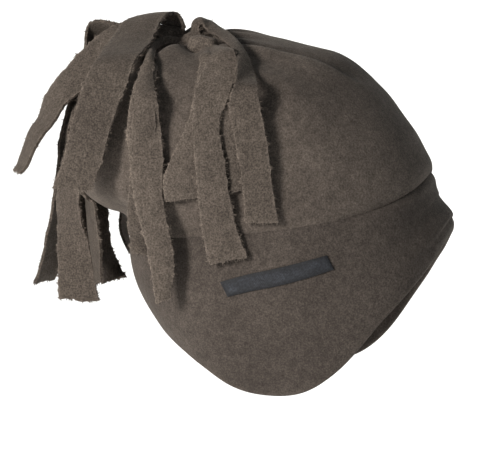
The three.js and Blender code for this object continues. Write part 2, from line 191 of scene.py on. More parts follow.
# The photograph's view: how far it is turned from the hat's right side and how far it is
# raised, in degrees, its distance and what it looks at, in mm, and its focal length,
# width and middle, in pixels.
VIEW = {"turned": 12.0, "raised": 6.5, "far": 1080.0, "aim": (-37.0, 0.0, -122.0)}
PICTURE = {"focal": 1500.0, "wide": 500, "middle": (250.0, 230.5)}

# Cut strips that show, each with its width in mm and its stations from the neck to the
# tip. A station has the places of the strip's two edges in the photograph, in pixels.
# across is how far the strip's middle lies to the wearer's left, in mm. Where it is None
# the strip lies on the hat, and off is how far it stands off its skin, in mm. far_edge
# is 1 where the right edge is turned away from the viewer, -1 where the left one is, and
# 0 where neither is. Columns: left x, left y, right x, right y, across, off, far_edge.
FRINGE_STRIPS = {
    "back_high": {
        "wide": 27,
        "stations": (
            (180, 28, 184, 36, 0, None, 0),
            (150, 22, 152, 36, -2, None, -1),
            (115, 25, 130, 45, -6, None, -1),
            (86, 48, 106, 70, -9, None, -1),
            (70, 64, 92, 85, -11, None, -1),
            (58, 78, 78, 94, -12, None, -1),
            (46, 96, 65, 105, -14, None, -1),
            (38, 116, 53, 123, -16, None, -1),
            (30, 129, 43, 135, -17, None, -1),
            (24, 147, 34, 149, -18, None, -1),
            (17, 164, 26, 167, -19, None, -1),
            (14, 170, 20, 174, -20, None, -1),
        ),
    },
    "back_outer": {
        "wide": 24,
        "stations": (
            (182, 28, 186, 38, 6, None, 0),
            (150, 24, 150, 40, 10, None, 1),
            (121, 24, 124, 44, 12, None, 1),
            (97, 20, 108, 44, 12, None, 1),
            (88, 24, 100, 52, 12, None, 1),
            (84, 50, 102, 66, 12, None, 1),
            (75, 80, 94, 92, 12, None, 1),
            (66, 110, 87, 116, 12, None, 1),
            (59, 139, 80, 142, 12, None, 1),
            (57, 158, 76, 160, 12, None, 1),
            (55, 181, 72, 183, 12, None, 1),
            (51, 213, 67, 215, 12, None, 1),
            (43, 250, 61, 252, 12, None, 1),
            (38, 272, 58, 271, 12, None, 1),
            (34, 283, 52, 280, 12, None, 1),
        ),
    },
    "side_broad": {
        "wide": 27,
        "stations": (
            (178, 42, 186, 34, 2, None, 0),
            (172, 30, 185, 24, 8, None, -1),
            (146, 16, 178, 13, 6, None, -1),
            (126, 20, 168, 13, -6, None, -1),
            (117, 32, 160, 26, -16, None, 0),
            (110, 48, 152, 46, -24, None, 0),
            (101, 70, 139, 68, -31, None, 0),
            (93, 87, 133, 87, -35, None, 0),
            (86, 109, 125, 108, -39, None, 0),
            (79, 130, 117, 130, -42, None, 0),
            (69, 166, 107, 163, -46, None, 0),
            (60, 188, 96, 192, -48, None, 0),
        ),
    },
    "side_long": {
        "wide": 27,
        "stations": (
            (176, 40, 184, 42, -6, None, 0),
            (160, 38, 169, 40, -16, None, 0),
            (152, 45, 157, 47, -26, None, 0),
            (148, 62, 155, 62, -38, None, 0),
            (141, 82, 155, 82, -50, None, 0),
            (131, 106, 158, 106, None, 5, 0),
            (128, 131, 161, 132, None, 5, 0),
            (130, 158, 163, 155, None, 5, 0),
            (133, 185, 161, 183, None, 6, 0),
            (136, 205, 163, 205, -90, None, 0),
            (141, 226, 167, 226, -91, None, 0),
            (147, 248, 171, 247, -91, None, 0),
            (151, 268, 173, 266, -90, None, 0),
            (154, 287, 172, 284, -88, None, 0),
            (156, 304, 169, 300, -87, None, 0),
        ),
    },
    "back_pale": {
        "wide": 27,
        "stations": (
            (182, 30, 186, 42, 0, None, 0),
            (140, 40, 142, 58, -4, None, -1),
            (105, 62, 117, 84, -6, None, -1),
            (80, 94, 100, 108, -8, None, -1),
            (68, 125, 92, 130, -10, None, -1),
            (64, 150, 88, 152, -11, None, -1),
            (59, 176, 80, 180, -12, None, -1),
            (57, 200, 79, 202, -10, None, -1),
            (58, 222, 82, 222, -10, None, -1),
            (58, 243, 89, 243, -11, None, -1),
            (58, 266, 92, 266, -14, None, -1),
            (58, 299, 99, 301, -14, None, -1),
        ),
    },
    "back_dark": {
        "wide": 25,
        "stations": (
            (182, 32, 186, 42, 8, None, 0),
            (140, 44, 142, 60, 14, None, 1),
            (108, 72, 116, 90, 18, None, 1),
            (92, 112, 103, 118, 20, None, 1),
            (88, 150, 100, 152, 18, None, 1),
            (80, 190, 106, 190, 14, None, 1),
            (81, 215, 108, 214, 12, None, 1),
            (88, 243, 111, 243, 12, None, 1),
            (100, 266, 117, 262, 12, None, 1),
            (102, 282, 126, 278, 12, None, 0),
        ),
    },
    "back_thin": {
        "wide": 24,
        "stations": (
            (182, 32, 186, 42, 4, None, 0),
            (140, 48, 142, 62, 4, None, -1),
            (104, 76, 114, 92, 2, None, -1),
            (86, 116, 97, 120, -6, None, 1),
            (83, 150, 93, 152, -16, None, -1),
            (85, 190, 94, 190, -22, None, -1),
            (86, 215, 96, 215, -23, None, -1),
            (89, 243, 99, 243, -23, None, -1),
            (92, 266, 100, 266, -22, None, -1),
            (94, 284, 101, 282, -20, None, -1),
        ),
    },
    "back_far": {
        "wide": 25,
        "stations": (
            (184, 34, 188, 42, 10, None, 0),
            (152, 48, 154, 60, 22, None, 1),
            (126, 80, 132, 92, 32, None, 1),
            (118, 125, 124, 128, 36, None, 1),
            (120, 165, 126, 165, 37, None, 1),
            (121, 200, 126, 200, 36, None, 1),
            (120, 230, 126, 230, 36, None, 1),
            (124, 243, 129, 243, 36, None, 1),
            (129, 252, 132, 253, 36, None, 1),
        ),
    },
    "side_under": {
        "wide": 20,
        "stations": (
            (178, 40, 184, 46, -8, None, 0),
            (158, 52, 164, 58, -22, None, 0),
            (142, 84, 158, 84, -42, None, 0),
            (134, 120, 156, 120, None, 2, 0),
            (132, 160, 154, 160, None, 2, 0),
            (131, 185, 150, 185, None, 2, 0),
            (129, 209, 147, 209, -72, None, 0),
            (129, 230, 150, 230, -72, None, 0),
            (132, 253, 153, 256, -72, None, 0),
        ),
    },
}
TIE_STRIPS = {
    "tie_short": {
        "wide": 24,
        "stations": (
            (203, 50, 211, 50, -24, None, 0),
            (200, 62, 214, 60, None, 3, 0),
            (197, 82, 218, 80, None, 2, 0),
            (192, 112, 216, 112, None, 2, 0),
            (183, 135, 208, 140, None, 2, 0),
            (171, 160, 198, 165, None, 2, 0),
            (163, 181, 197, 183, None, 2, 0),
            (166, 202, 198, 199, None, 2, 0),
        ),
    },
    "tie_broad": {
        "wide": 26,
        "stations": (
            (206, 48, 215, 44, -26, None, 0),
            (207, 60, 234, 52, None, 7, 0),
            (200, 76, 238, 72, None, 6, 0),
            (194, 94, 230, 92, None, 5, 0),
            (193, 114, 221, 113, None, 5, 0),
            (193, 128, 219, 126, None, 5, 0),
            (194, 146, 222, 144, None, 5, 0),
            (196, 170, 225, 168, None, 5, 0),
            (199, 206, 231, 207, None, 4, 0),
            (202, 230, 237, 230, None, 3, 0),
            (209, 264, 247, 258, None, 3, 0),
        ),
    },
    "tie_tail": {
        "wide": (5, 12, 14, 15, 17, 18, 20, 22, 23, 24, 24, 24, 24, 24, 24, 24, 24),
        "stations": (
            (200, 40, 206, 44, -14, None, 0),
            (192, 31, 197, 33, -13, None, -1),
            (193, 22, 198, 25, -10, None, -1),
            (199, 17, 203, 23, -8, None, -1),
            (209, 21, 209, 30, -10, None, -1),
            (220, 27, 219, 37, -16, None, -1),
            (230, 34, 228, 45, -26, None, -1),
            (240, 45, 236, 57, -40, None, -1),
            (248, 60, 238, 72, -52, None, -1),
            (254, 76, 236, 82, -62, None, -1),
            (258, 92, 231, 96, None, 5, 0),
            (261, 110, 230, 110, None, 4, 0),
            (264, 130, 233, 131, None, 4, 0),
            (268, 150, 236, 151, None, 4, 0),
            (271, 170, 240, 171, None, 4, 0),
            (274, 195, 244, 197, None, 3, 0),
            (278, 221, 245, 224, None, 3, 0),
        ),
    },
    "tie_under": {
        "wide": 24,
        "stations": (
            (210, 50, 218, 48, -28, None, 0),
            (216, 80, 236, 78, None, 2, 0),
            (220, 120, 244, 118, None, 2, 0),
            (224, 160, 247, 158, None, 2, 0),
            (226, 193, 249, 190, None, 2, 0),
        ),
    },
}

# Cut strips on the wearer's left, which the photograph hides. Columns: heading in degrees
# from the front, its drift by the tip, how far out and up from the root the crest, the
# bend and the tip lie, and the width.
HIDDEN_STRIPS = {
    "left_a": (126, 1, 46, -12, 86, -64, 92, -165, 26),
    "left_b": (106, 0, 44, -20, 88, -62, 94, -148, 27),
    "left_c": (84, 0, 44, -22, 92, -62, 99, -174, 26),
    "left_d": (62, 0, 46, -20, 96, -62, 103, -132, 27),
    "left_e": (44, 4, 48, -16, 104, -60, 112, -154, 25),
}
# Where the guessed strips are measured from, and a place inside the hat that the outer
# faces of strips look away from.
STRIP_ROOT = np.array([-73.0, 0.0, 22.0])
INSIDE = np.array([-45.0, 0.0, -40.0])
# Cells of a strip's sheet, across and along.
STRIP_COLUMNS = 18
STRIP_ROWS = 200
# Least distance of a strip's middle layer from the crown's, in mm.
CLEAR = 2.7

# How far the near strips stand off the crown past their roots, in mm.
STANDS = {
    "side_broad": 11,
    "side_long": 1,
    "side_under": 1,
    "tie_short": 0.5,
    "tie_under": 0,
    "tie_broad": 1.5,
    "tie_tail": 1,
}

# Painted light and shade of each strip: its colour is scaled by this, below 1 for painted shade
# where the strip lies in shadow, above 1 for painted light.
STRIP_PAINTED_LIGHT_AND_SHADE = {
    "side_broad": 0.86,
    "side_long": 1.03,
    "back_pale": 0.93,
    "back_high": 0.9,
    "back_thin": 0.7,
    "back_outer": 0.72,
    "back_dark": 0.8,
    "back_far": 0.8,
    "side_under": 0.92,
    "tie_under": 0.85,
    "tie_tail": 0.88,
}

# Tie: the wrap round the neck, and the knot on the wearer's right.
WRAP = {"radius": 12.0, "wide": 4.6, "thick": 3.0, "tilt": -14.0, "low": 2.5}
KNOT = {"at": (-63.5, -30.0, 9.0), "radii": (11.0, 6.5, 7.6), "lean": 12.0}

# Gathers at the neck that the strips spring from.
GATHERS = {"radius": 10.0, "middle_x": -76, "low": 12.0, "tall": 8.5, "pleats": 13}

# Label: its front and back ends on the band, as angle, top and bottom row, how far its
# lower edge is set forward in degrees, four times the rows by which its middle is
# lifted, its size, and the size of its weave.
LABEL_ENDS = {"front": (-69, 0.21, 0.32), "back": (-103, 0.28, 0.37)}
LABEL = {"lean": 1.9, "lift": 0.115, "long": 76, "tall": 13, "weave": (76, 12), "thick": 0.7}

# Loose fibres: least and greatest length and root radius, the tip's radius, how far the
# root is sunk into the cloth and how far from the middle of the cut it may stand.
FIBRE = {"long": (1.3, 3.1), "root": (0.28, 0.55), "tip": 0.02, "sunk": 0.25, "beside": 0.8}

# Floor and sweep, in metres: the floor's height, its front, where it starts to curve up,
# the curve's radius, the wall's height over the curve, and half the width.
SWEEP = {"floor": -0.42, "front": -4.0, "bend": 1.6, "radius": 0.9, "wall": 3.0, "half": 5}

# Lamps, in metres and watts. The backdrop lamp lights the sweep alone.
HAT_MIDDLE = (-0.04, 0, -0.1)
LAMPS = {
    "window": {
        "place": (-1.14, -1.51, 0.45),
        "aim": HAT_MIDDLE,
        "size": (0.5, 0.55),
        "power": 42,
        "color": (1.0, 0.96, 0.91),
    },
    "room": {
        "place": (1.2, -1.4, 0.5),
        "aim": HAT_MIDDLE,
        "size": (1.6, 1.2),
        "power": 2.2,
        "color": (0.93, 0.97, 1.0),
    },
    "backdrop": {
        "place": (0.0, 0.6, 1.9),
        "aim": (0.0, 2.2, 0.2),
        "size": (2.6, 1.0),
        "power": 85,
        "color": (1.0, 1.0, 1.0),
    },
}

# Light from all round, and the paper white that the camera sees behind the sweep.
SKY = {"color": (0.86, 0.95, 1.0, 1), "strength": 0.14}
WALL = {"color": (1.0, 1.0, 0.99, 1), "strength": 0.95}


def smooth(low, high, value):
    t = np.clip((value - low) / (high - low), 0, 1)
    return t * t * (3 - 2 * t)


def mix(a, b, t):
    return a + (b - a) * t


def hill(value, spread):
    return np.exp(-((value / spread) ** 2))


def full(value, power):
    return np.sign(value) * np.abs(value) ** power


def turn(angle, start):
    """Signed angle from one direction round the hat to another, in degrees."""
    return (angle - start + 180) % 360 - 180


def unit(vectors):
    return vectors / np.maximum(np.linalg.norm(vectors, axis=-1, keepdims=True), 1e-9)


def spline(points, t):
    """Smooth curve through the points; t runs from 0 to 1, evenly over the spans."""
    points = np.asarray(points, float)
    ends = np.vstack([2 * points[0] - points[1], points, 2 * points[-1] - points[-2]])
    place = np.clip(np.asarray(t, float), 0, 1) * (len(points) - 1)
    i = np.minimum(place.astype(int), len(points) - 2)
    w = (place - i)[..., None]
    a, b, c, d = (ends[i + k] for k in range(4))

    def span(p, q):
        return np.sqrt(np.linalg.norm(q - p, axis=-1, keepdims=True)) + 1e-6

    ab, bc, cd = span(a, b), span(b, c), span(c, d)
    slope_b = ((b - a) / ab - (c - a) / (ab + bc) + (c - b) / bc) * bc
    slope_c = ((c - b) / bc - (d - b) / (bc + cd) + (d - c) / cd) * bc
    return (
        b
        + slope_b * w
        + (3 * (c - b) - 2 * slope_b - slope_c) * w**2
        + (2 * (b - c) + slope_b + slope_c) * w**3
    )


def view_axes():
    """Where the photograph's view stands, its way ahead, and its right and up."""
    turned, raised = math.radians(VIEW["turned"]), math.radians(VIEW["raised"])
    level = np.array([-math.sin(turned), math.cos(turned), 0.0])
    ahead = level * math.cos(raised) - (0.0, 0.0, math.sin(raised))
    right = np.array([math.cos(turned), math.sin(turned), 0.0])
    return np.array(VIEW["aim"]) - ahead * VIEW["far"], ahead, right, np.cross(right, ahead)


EYE, AHEAD, RIGHT, UP = view_axes()
NEAR_SIDE = np.round(-AHEAD, 4)


def ripple(points, size, seed):
    """Soft uneven waves over points in mm, of about the given size, from -1 to 1."""
    shift = Vector((seed * 7.31, seed * 3.17, seed * 5.73))
    return np.array([noise.noise(Vector(p) / size + shift) for p in points])


# Forms of the hat.


def crown_form(angle, up):
    """The crown without folds: angle in degrees from the front, up from seam to neck."""
    angle, up = np.broadcast_arrays(np.asarray(angle, float), np.asarray(up, float))
    front = spline(CROWN_ROWS[:, [0, 1]], up)
    back = spline(CROWN_ROWS[:, [2, 3]], up)
    side = spline(CROWN_ROWS[:, [4, 5]], up)
    along = full(np.cos(np.radians(angle)), PLAN_POWER)
    across = full(np.sin(np.radians(angle)), PLAN_POWER)
    middle = mix(back, front, ((1 + along) / 2)[..., None])
    droop = np.sqrt(across**2 + 0.03) - math.sqrt(0.03)
    return np.stack(
        [
            middle[..., 0],
            side[..., 0] * across,
            middle[..., 1] - side[..., 1] * droop * (0.6 + 0.4 * along),
        ],
        axis=-1,
    )


def rim_point(angle):
    """The band's rim in a direction round the hat, curved smoothly through its rows."""
    place = np.abs(turn(angle, 0))
    rows = np.vstack(
        [RIM_ROWS[1] * (-1, 1, -1, 1), RIM_ROWS, RIM_ROWS[-2] * (-1, 1, -1, 1) + (360, 0, 0, 0)]
    )
    i = np.clip(np.searchsorted(RIM_ROWS[:, 0], place, side="left") - 1, 0, len(RIM_ROWS) - 2)
    a, b, c, d = (rows[i + k] for k in range(4))
    step = (c[..., 0] - b[..., 0])[..., None]
    t = (place - b[..., 0])[..., None] / step
    slope_b = (c - a) / (c[..., 0] - a[..., 0])[..., None] * step
    slope_c = (d - b) / (d[..., 0] - b[..., 0])[..., None] * step
    value = (
        (2 * t**3 - 3 * t**2 + 1) * b
        + (t**3 - 2 * t**2 + t) * slope_b
        + (3 * t**2 - 2 * t**3) * c
        + (t**3 - t**2) * slope_c
    )
    forward = LEFT_FLAP["forward"] * hill(turn(angle, LEFT_FLAP["at"]), LEFT_FLAP["spread"])
    hand = np.sign(turn(angle, 0))
    return np.stack([value[..., 1] + forward, hand * value[..., 2], value[..., 3]], axis=-1)


def band_form(angle, down):
    """The band without its seam pinch: down runs from the seam to the rim."""
    angle, down = np.broadcast_arrays(np.asarray(angle, float), np.asarray(down, float))
    top, rim = crown_form(angle, 0), rim_point(angle)
    lip = hill(turn(angle, 0), LIP["spread"])
    reach = mix(down, smooth(LIP["low"], LIP["high"], down), lip)
    sine, cosine = np.sin(np.radians(angle)), np.cos(np.radians(angle))
    ends = np.where(cosine > 0, BAND_BULGE["front"], BAND_BULGE["back"])
    bulge = mix(ends, BAND_BULGE["side"], sine**2) * 4 * down * (1 - down)
    return np.stack(
        [
            mix(top[..., 0], rim[..., 0], reach) + bulge * cosine,
            mix(top[..., 1], rim[..., 1], reach) + bulge * sine,
            mix(top[..., 2], rim[..., 2], down),
        ],
        axis=-1,
    )


def outward(form, angle, along, sense):
    """The unit normal of a form, with its sense set so that it points outward."""
    around = form(angle + 0.5, along) - form(angle - 0.5, along)
    upward = form(angle, np.minimum(1, along + 0.01)) - form(angle, np.maximum(0, along - 0.01))
    return unit(np.cross(around, upward) * sense)


def seam_normal(angle):
    return unit(outward(crown_form, angle, 0.02, 1) + outward(band_form, angle, 0.04, -1))


def seam_depth(angle):
    """The seam bites less on the wearer's right, where the cloth lies smooth."""
    side = turn(angle, -100)
    quiet = smooth(-62, -46, side) * (1 - smooth(30, 46, side))
    return 1 - 0.92 * quiet - 0.25 * hill(turn(angle, 0), 30)


def seam_pinch(angle, away, shift):
    """How far the cloth is drawn in this many mm from the seam, less its puckers."""
    bites = sum(depth * hill(away, wide) for depth, wide in SEAM["bites"])
    beat = np.cos(np.radians(angle * SEAM["stitches"] + shift))
    return bites * seam_depth(angle) - SEAM["pucker"] * beat * hill(away, SEAM["pucker_wide"])


def crown_folds(angle, up, point):
    """How far folds, dents, ridge and pleats lift the crown's cloth, in mm."""
    total = np.zeros_like(angle)
    for at, spread, height, low, high in CROWN_FOLDS:
        rise = smooth(low, high, up) * (1 - 0.75 * smooth(0.84, 1, up))
        wander = 3.0 * np.sin(up * 9 + at)
        total += height * hill(turn(angle, at + wander * (1 - up)), spread) * rise
    for at, wide, row, tall, height in CROWN_DENTS:
        total += height * hill(turn(angle, at), wide) * hill(up - row, tall)
    past = turn(angle, np.interp(up, RIDGE[:, 0], RIDGE[:, 1]))
    form = RIDGE_FORM
    ridge = np.where(past < 0, hill(past, form["near"]), hill(past, form["far"])) * form["tall"]
    ridge -= form["valley"] * hill(past - form["behind"], form["wide"])
    total += ridge * smooth(0.43, 0.54, up) * (1 - 0.8 * smooth(0.70, 0.86, up))
    gather = smooth(0.70, 0.88, up) * (1 - 0.5 * smooth(0.92, 1, up))
    uneven = PLEATS["wander"] * np.sin(np.radians(angle * 2))
    total += np.cos(np.radians(angle * PLEATS["count"] + uneven)) * PLEATS["tall"] * gather
    for size, seed, tall, row in CROWN_WAVES:
        total += ripple(point, size, seed) * tall * smooth(0.03, row, up)
    return total


def crown_point(angle, up, out):
    """A point of the crown's outside, moved out by a distance in mm."""
    point = crown_form(angle, up)
    normal = outward(crown_form, angle, up, 1)
    normal = unit(mix(normal, seam_normal(angle), hill(up, 0.03)[..., None]))
    lift = crown_folds(angle, up, point) - seam_pinch(angle, up * SEAM["crown_tall"], 0) + out
    return point + normal * lift[..., None]


def band_point(angle, down, out):
    """A point of the band's outside, moved out by a distance in mm."""
    point = band_form(angle, down)
    normal = outward(band_form, angle, down, -1)
    normal = unit(mix(normal, seam_normal(angle), hill(down, 0.06)[..., None]))
    lift = out - seam_pinch(angle, down * SEAM["band_tall"], 60)
    front = turn(angle, 0)
    for spread, row, tall, height in BROW_SWELLS:
        lift += height * hill(front, spread) * hill(down - row, tall)
    lift -= BROW_HEM["depth"] * hill(front, BROW_HEM["spread"]) * smooth(BROW_HEM["row"], 1, down)
    for size, seed, tall, row in BAND_WAVES:
        lift += ripple(point, size, seed) * tall * smooth(0.04, row, down)
    return point + normal * lift[..., None]


# Cloth pieces.


def cloth_mesh(name, columns, rows, place, flat, closed=False, nap=None):
    """A sheet of cells. place gives points in mm from u across and v along, 0 to 1;
    flat is the cut's width and length in mm, which scales the cloth's UV map; the last
    argument gives a factor on the colour at each point, 1 for even: painted light and
    shade on the fleece pieces, and the label's tone."""
    mesh_data = bmesh.new()
    weave = mesh_data.loops.layers.uv.new("cloth")
    bmesh.ops.create_grid(mesh_data, x_segments=columns, y_segments=rows, size=0.5)
    u = np.round((np.array([v.co.x for v in mesh_data.verts]) + 0.5) * columns) / columns
    v = np.round((np.array([v.co.y for v in mesh_data.verts]) + 0.5) * rows) / rows
    points = place(u, v)
    for vert, point in zip(mesh_data.verts, points):
        vert.co = Vector(point) * MM
    if nap:
        tone_and_light_layer = mesh_data.verts.layers.float.new("nap")
        for vert, level in zip(mesh_data.verts, nap(u, v)):
            vert[tone_and_light_layer] = level
    mesh_data.verts.index_update()
    for face in mesh_data.faces:
        face.smooth = True
        for loop in face.loops:
            i = loop.vert.index
            loop[weave].uv = (u[i] * flat[0] * MM, v[i] * flat[1] * MM)
    if closed:
        bmesh.ops.remove_doubles(mesh_data, verts=mesh_data.verts, dist=2e-6)
        bmesh.ops.recalc_face_normals(mesh_data, faces=mesh_data.faces)
        middle = Vector(points.mean(axis=0)) * MM
        faces = list(mesh_data.faces)
        if sum(f.normal.dot(f.calc_center_median() - middle) * f.calc_area() for f in faces) < 0:
            bmesh.ops.reverse_faces(mesh_data, faces=faces)
    return finish_mesh(name, mesh_data)


def finish_mesh(name, mesh_data):
    mesh = bpy.data.meshes.new(name)
    mesh_data.to_mesh(mesh)
    mesh_data.free()
    piece = bpy.data.objects.new(name, mesh)
    bpy.context.scene.collection.objects.link(piece)
    return piece


def thicken(piece, thick, bevel=0.45):
    wall = piece.modifiers.new("cloth wall", "SOLIDIFY")
    wall.thickness = thick * MM
    wall.offset = 0
    wall.use_even_offset = False
    wall.use_rim = True
    if bevel:
        edge = piece.modifiers.new("cut edge", "BEVEL")
        edge.width = bevel * MM
        edge.segments = 2
        edge.limit_method = "ANGLE"
        edge.angle_limit = math.radians(52)


def carry(piece, node):
    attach(piece, "root")
    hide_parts(node)


def tree_of(*pieces):
    """One search tree over the faces of these pieces, without their modifiers."""
    mesh_data = bmesh.new()
    for piece in pieces:
        mesh_data.from_mesh(piece.data)
    tree = BVHTree.FromBMesh(mesh_data)
    mesh_data.free()
    return tree


def spread_out(amount, rounds=4):
    """Blurs a grid of amounts without making any of them smaller."""
    blurred = amount
    for _ in range(rounds):
        padded = np.pad(blurred, 1, mode="edge")
        blurred = (
            padded[1:-1, 1:-1] * 2
            + padded[:-2, 1:-1]
            + padded[2:, 1:-1]
            + padded[1:-1, :-2]
            + padded[1:-1, 2:]
        ) / 6
    return np.maximum(amount, blurred)


def keep_clear(points, tree, clearance, weight):
    """Moves a grid of points (rows, columns, 3) in mm off the skin of a tree."""
    for _ in range(4):
        way, short = shortfall(points, tree, clearance)
        amount = spread_out(np.minimum(short * weight[:, None], 14))
        points = points + way * amount[..., None]
        if amount.max() < 0.15:
            break
    return points


def stand_clear(points, tree, clearance, weight, toward, stand):
    """Moves whole rows one way, by a smooth amount that clears the skin everywhere."""
    pushed = np.zeros(len(points))
    for _ in range(6):
        way, short = shortfall(points + toward * pushed[:, None, None], tree, clearance)
        lean = np.maximum(0.4, way @ toward)
        more = np.minimum(short / lean * weight[:, None], 14).max(axis=1)
        pushed = pushed + more
        if more.max() < 0.15:
            break
    reach = 14
    ends = np.pad(pushed, reach, mode="edge")
    high = np.array([ends[i : i + 2 * reach + 1].max() for i in range(len(pushed))])
    ends = np.pad(high, reach, mode="edge")
    kernel = hill(np.arange(-reach, reach + 1), reach * 0.55)
    even = np.convolve(ends, kernel / kernel.sum(), mode="valid")
    return points + toward * ((even + stand) * weight)[:, None, None]


def shortfall(points, tree, clearance):
    """The skin's normal at each point, and how far the point falls short of clearing it."""
    way, short = np.zeros_like(points), np.zeros(points.shape[:2])
    for index in np.ndindex(points.shape[:2]):
        found = tree.find_nearest(Vector(points[index]) * MM, 0.045)
        if found[0] is None:
            continue
        way[index] = found[1]
        height = float((points[index] - np.array(found[0]) / MM) @ way[index])
        short[index] = max(0.0, clearance - height)
    return way, short


def seen_ray(x, y):
    """The way from the view through a pixel of the photograph."""
    right, down = np.subtract((x, y), PICTURE["middle"]) / PICTURE["focal"]
    return AHEAD + RIGHT * right - UP * down


def seen_point(x, y, across):
    """The point in mm that shows at a pixel and lies this far to the wearer's left."""
    ray = seen_ray(x, y)
    return EYE + ray * ((across - EYE[1]) / ray[1])


def skin_across(x, y, skin):
    """How far to the wearer's left the hat's skin lies at a pixel, in mm."""
    found = skin.ray_cast(Vector(EYE) * MM, Vector(seen_ray(x, y)))[0]
    return math.inf if found is None else found.y / MM


def seen_rows(strip, skin):
    """Rows of a strip that shows, one edge's x, y, z and the other edge's, in whole mm."""
    rows = []
    widths = np.broadcast_to(strip["wide"], len(strip["stations"]))
    for wide, station in zip(widths, strip["stations"]):
        left_x, left_y, right_x, right_y, across, off, far_edge = station
        if across is None:
            middle = ((left_x + right_x) / 2, (left_y + right_y) / 2)
            places = ((left_x, left_y), (right_x, right_y), middle)
            across = min(skin_across(*place, skin) for place in places) - off
        left, right = seen_point(left_x, left_y, across), seen_point(right_x, right_y, across)
        # The edges part along the line of sight until the strip has its full width.
        apart = right - left
        left_way = seen_ray(left_x, left_y) / seen_ray(left_x, left_y)[1] * far_edge
        right_way = seen_ray(right_x, right_y) / seen_ray(right_x, right_y)[1] * far_edge
        part = left_way + right_way
        short = wide**2 - apart @ apart
        if far_edge and short > 0:
            lean = apart @ part
            turned = (math.sqrt(lean**2 + part @ part * short) - lean) / (part @ part)
            left, right = left - left_way * turned, right + right_way * turned
        rows.append((*left, *right))
    return np.round(rows)


def hidden_rows(heading, drift, crest_out, crest_up, bend_out, bend_up, tip_out, tip_up, wide):
    """Rows of a strip on the wearer's left, in whole mm, as seen_rows gives them."""

    def away(out, up, along):
        angle = math.radians(heading + drift * along)
        return STRIP_ROOT + (out * math.cos(angle), out * math.sin(angle), up)

    bends = [
        away(3, 2, 0),
        away(crest_out, crest_up, 0.22),
        away(bend_out, bend_up, 0.55),
        away(tip_out, tip_up, 1),
    ]
    curve = spline(bends, np.linspace(0, 1, 401))
    run = np.concatenate([[0], np.cumsum(np.linalg.norm(np.diff(curve, axis=0), axis=1))])
    rows = []
    for along in (0, 0.1, 0.22, 0.36, 0.5, 0.64, 0.8, 1):
        centre = np.array([np.interp(along * run[-1], run, curve[:, k]) for k in range(3)])
        angle = math.radians(heading + drift * along)
        half = wide / 2 * (0.3 + 0.7 * smooth(0, 0.3, along))
        side = np.array([-math.sin(angle), math.cos(angle), 0]) * half
        rows.append((*(centre - side), *(centre + side)))
    return np.round(rows)


def cupped(left, right, seed, limit):
    """Points between a strip's two edges, cupped across and gently waved along."""
    even = np.linspace(0, 1, STRIP_ROWS + 1)
    centre = (left + right) / 2
    chord = np.linalg.norm(right - left, axis=1)
    across = unit(right - left)
    normal = unit(np.cross(unit(np.gradient(centre, axis=0)), across))
    if (normal * (centre - INSIDE)).sum() < 0:
        normal = -normal
    u = np.linspace(-1, 1, STRIP_COLUMNS + 1)
    slack = 0.5 * np.sqrt(np.maximum(23.0**2 - chord**2, 4))
    share = np.random.default_rng(seed).uniform(0.55, 1.0)
    bend = share * np.minimum(limit + 3.0 * hill(even, 0.12), slack)
    grid = centre[:, None] + across[:, None] * (chord[:, None, None] / 2) * u[None, :, None]
    grid -= normal[:, None] * (bend[:, None, None] * (u[None, :, None] ** 2 - 0.33))
    flat = grid.reshape(-1, 3)
    wave = ripple(flat, 30, seed + 11) * 0.9 + ripple(flat, 11, seed + 12) * 0.3
    wave = wave.reshape(grid.shape[:2]) * smooth(0.05, 0.3, even)[:, None]
    return grid + normal[:, None] * wave[..., None]


def even_hang(grid, reach=16, spread=9.0):
    """Smooths a strip's depth along its length, so that its outline stays."""
    depth = grid @ NEAR_SIDE
    ends = np.pad(depth, ((reach, reach), (0, 0)), mode="reflect", reflect_type="odd")
    kernel = hill(np.arange(-reach, reach + 1), spread)
    kernel = kernel / kernel.sum()
    columns = [np.convolve(column, kernel, mode="valid") for column in ends.T]
    return grid + NEAR_SIDE * (np.stack(columns, axis=1) - depth)[..., None]


def cut_edges(grid, left, right, length, seed, ragged):
    """Leaves the scissors' small steps along both edges and a rougher cut at the tip."""
    across = unit(right - left)
    place = np.linspace(0, 1, STRIP_ROWS + 1) * length
    for side, column in ((-1, 0), (1, STRIP_COLUMNS)):
        line = np.stack([place, np.full_like(place, side * 9.0), np.full_like(place, seed)], axis=1)
        nick = ripple(line, 2.6, seed + 1) * 0.75 + ripple(line, 6.5, seed + 2) * 0.6
        nick += 0.9 * (ripple(line, 3.6, seed + 4) > 0.42)
        for depth, share in enumerate((1.0, 0.3)):
            grid[:, column - side * depth] += across * (side * nick * ragged * share)[:, None]
    u = np.linspace(-1, 1, STRIP_COLUMNS + 1)
    wide = np.linalg.norm(right[-1] - left[-1])
    tip = np.stack([u * wide / 2, np.zeros_like(u), np.full_like(u, seed + 5.0)], axis=1)
    jag = ripple(tip, 2.6, seed + 6) * 1.5 + ripple(tip, 8.0, seed + 7) * 1.2
    way = unit(np.gradient((left + right) / 2, axis=0))[-1]
    for back, share in enumerate((1.0, 0.7, 0.4, 0.2)):
        grid[-1 - back] += way * (jag * ragged * share)[:, None]


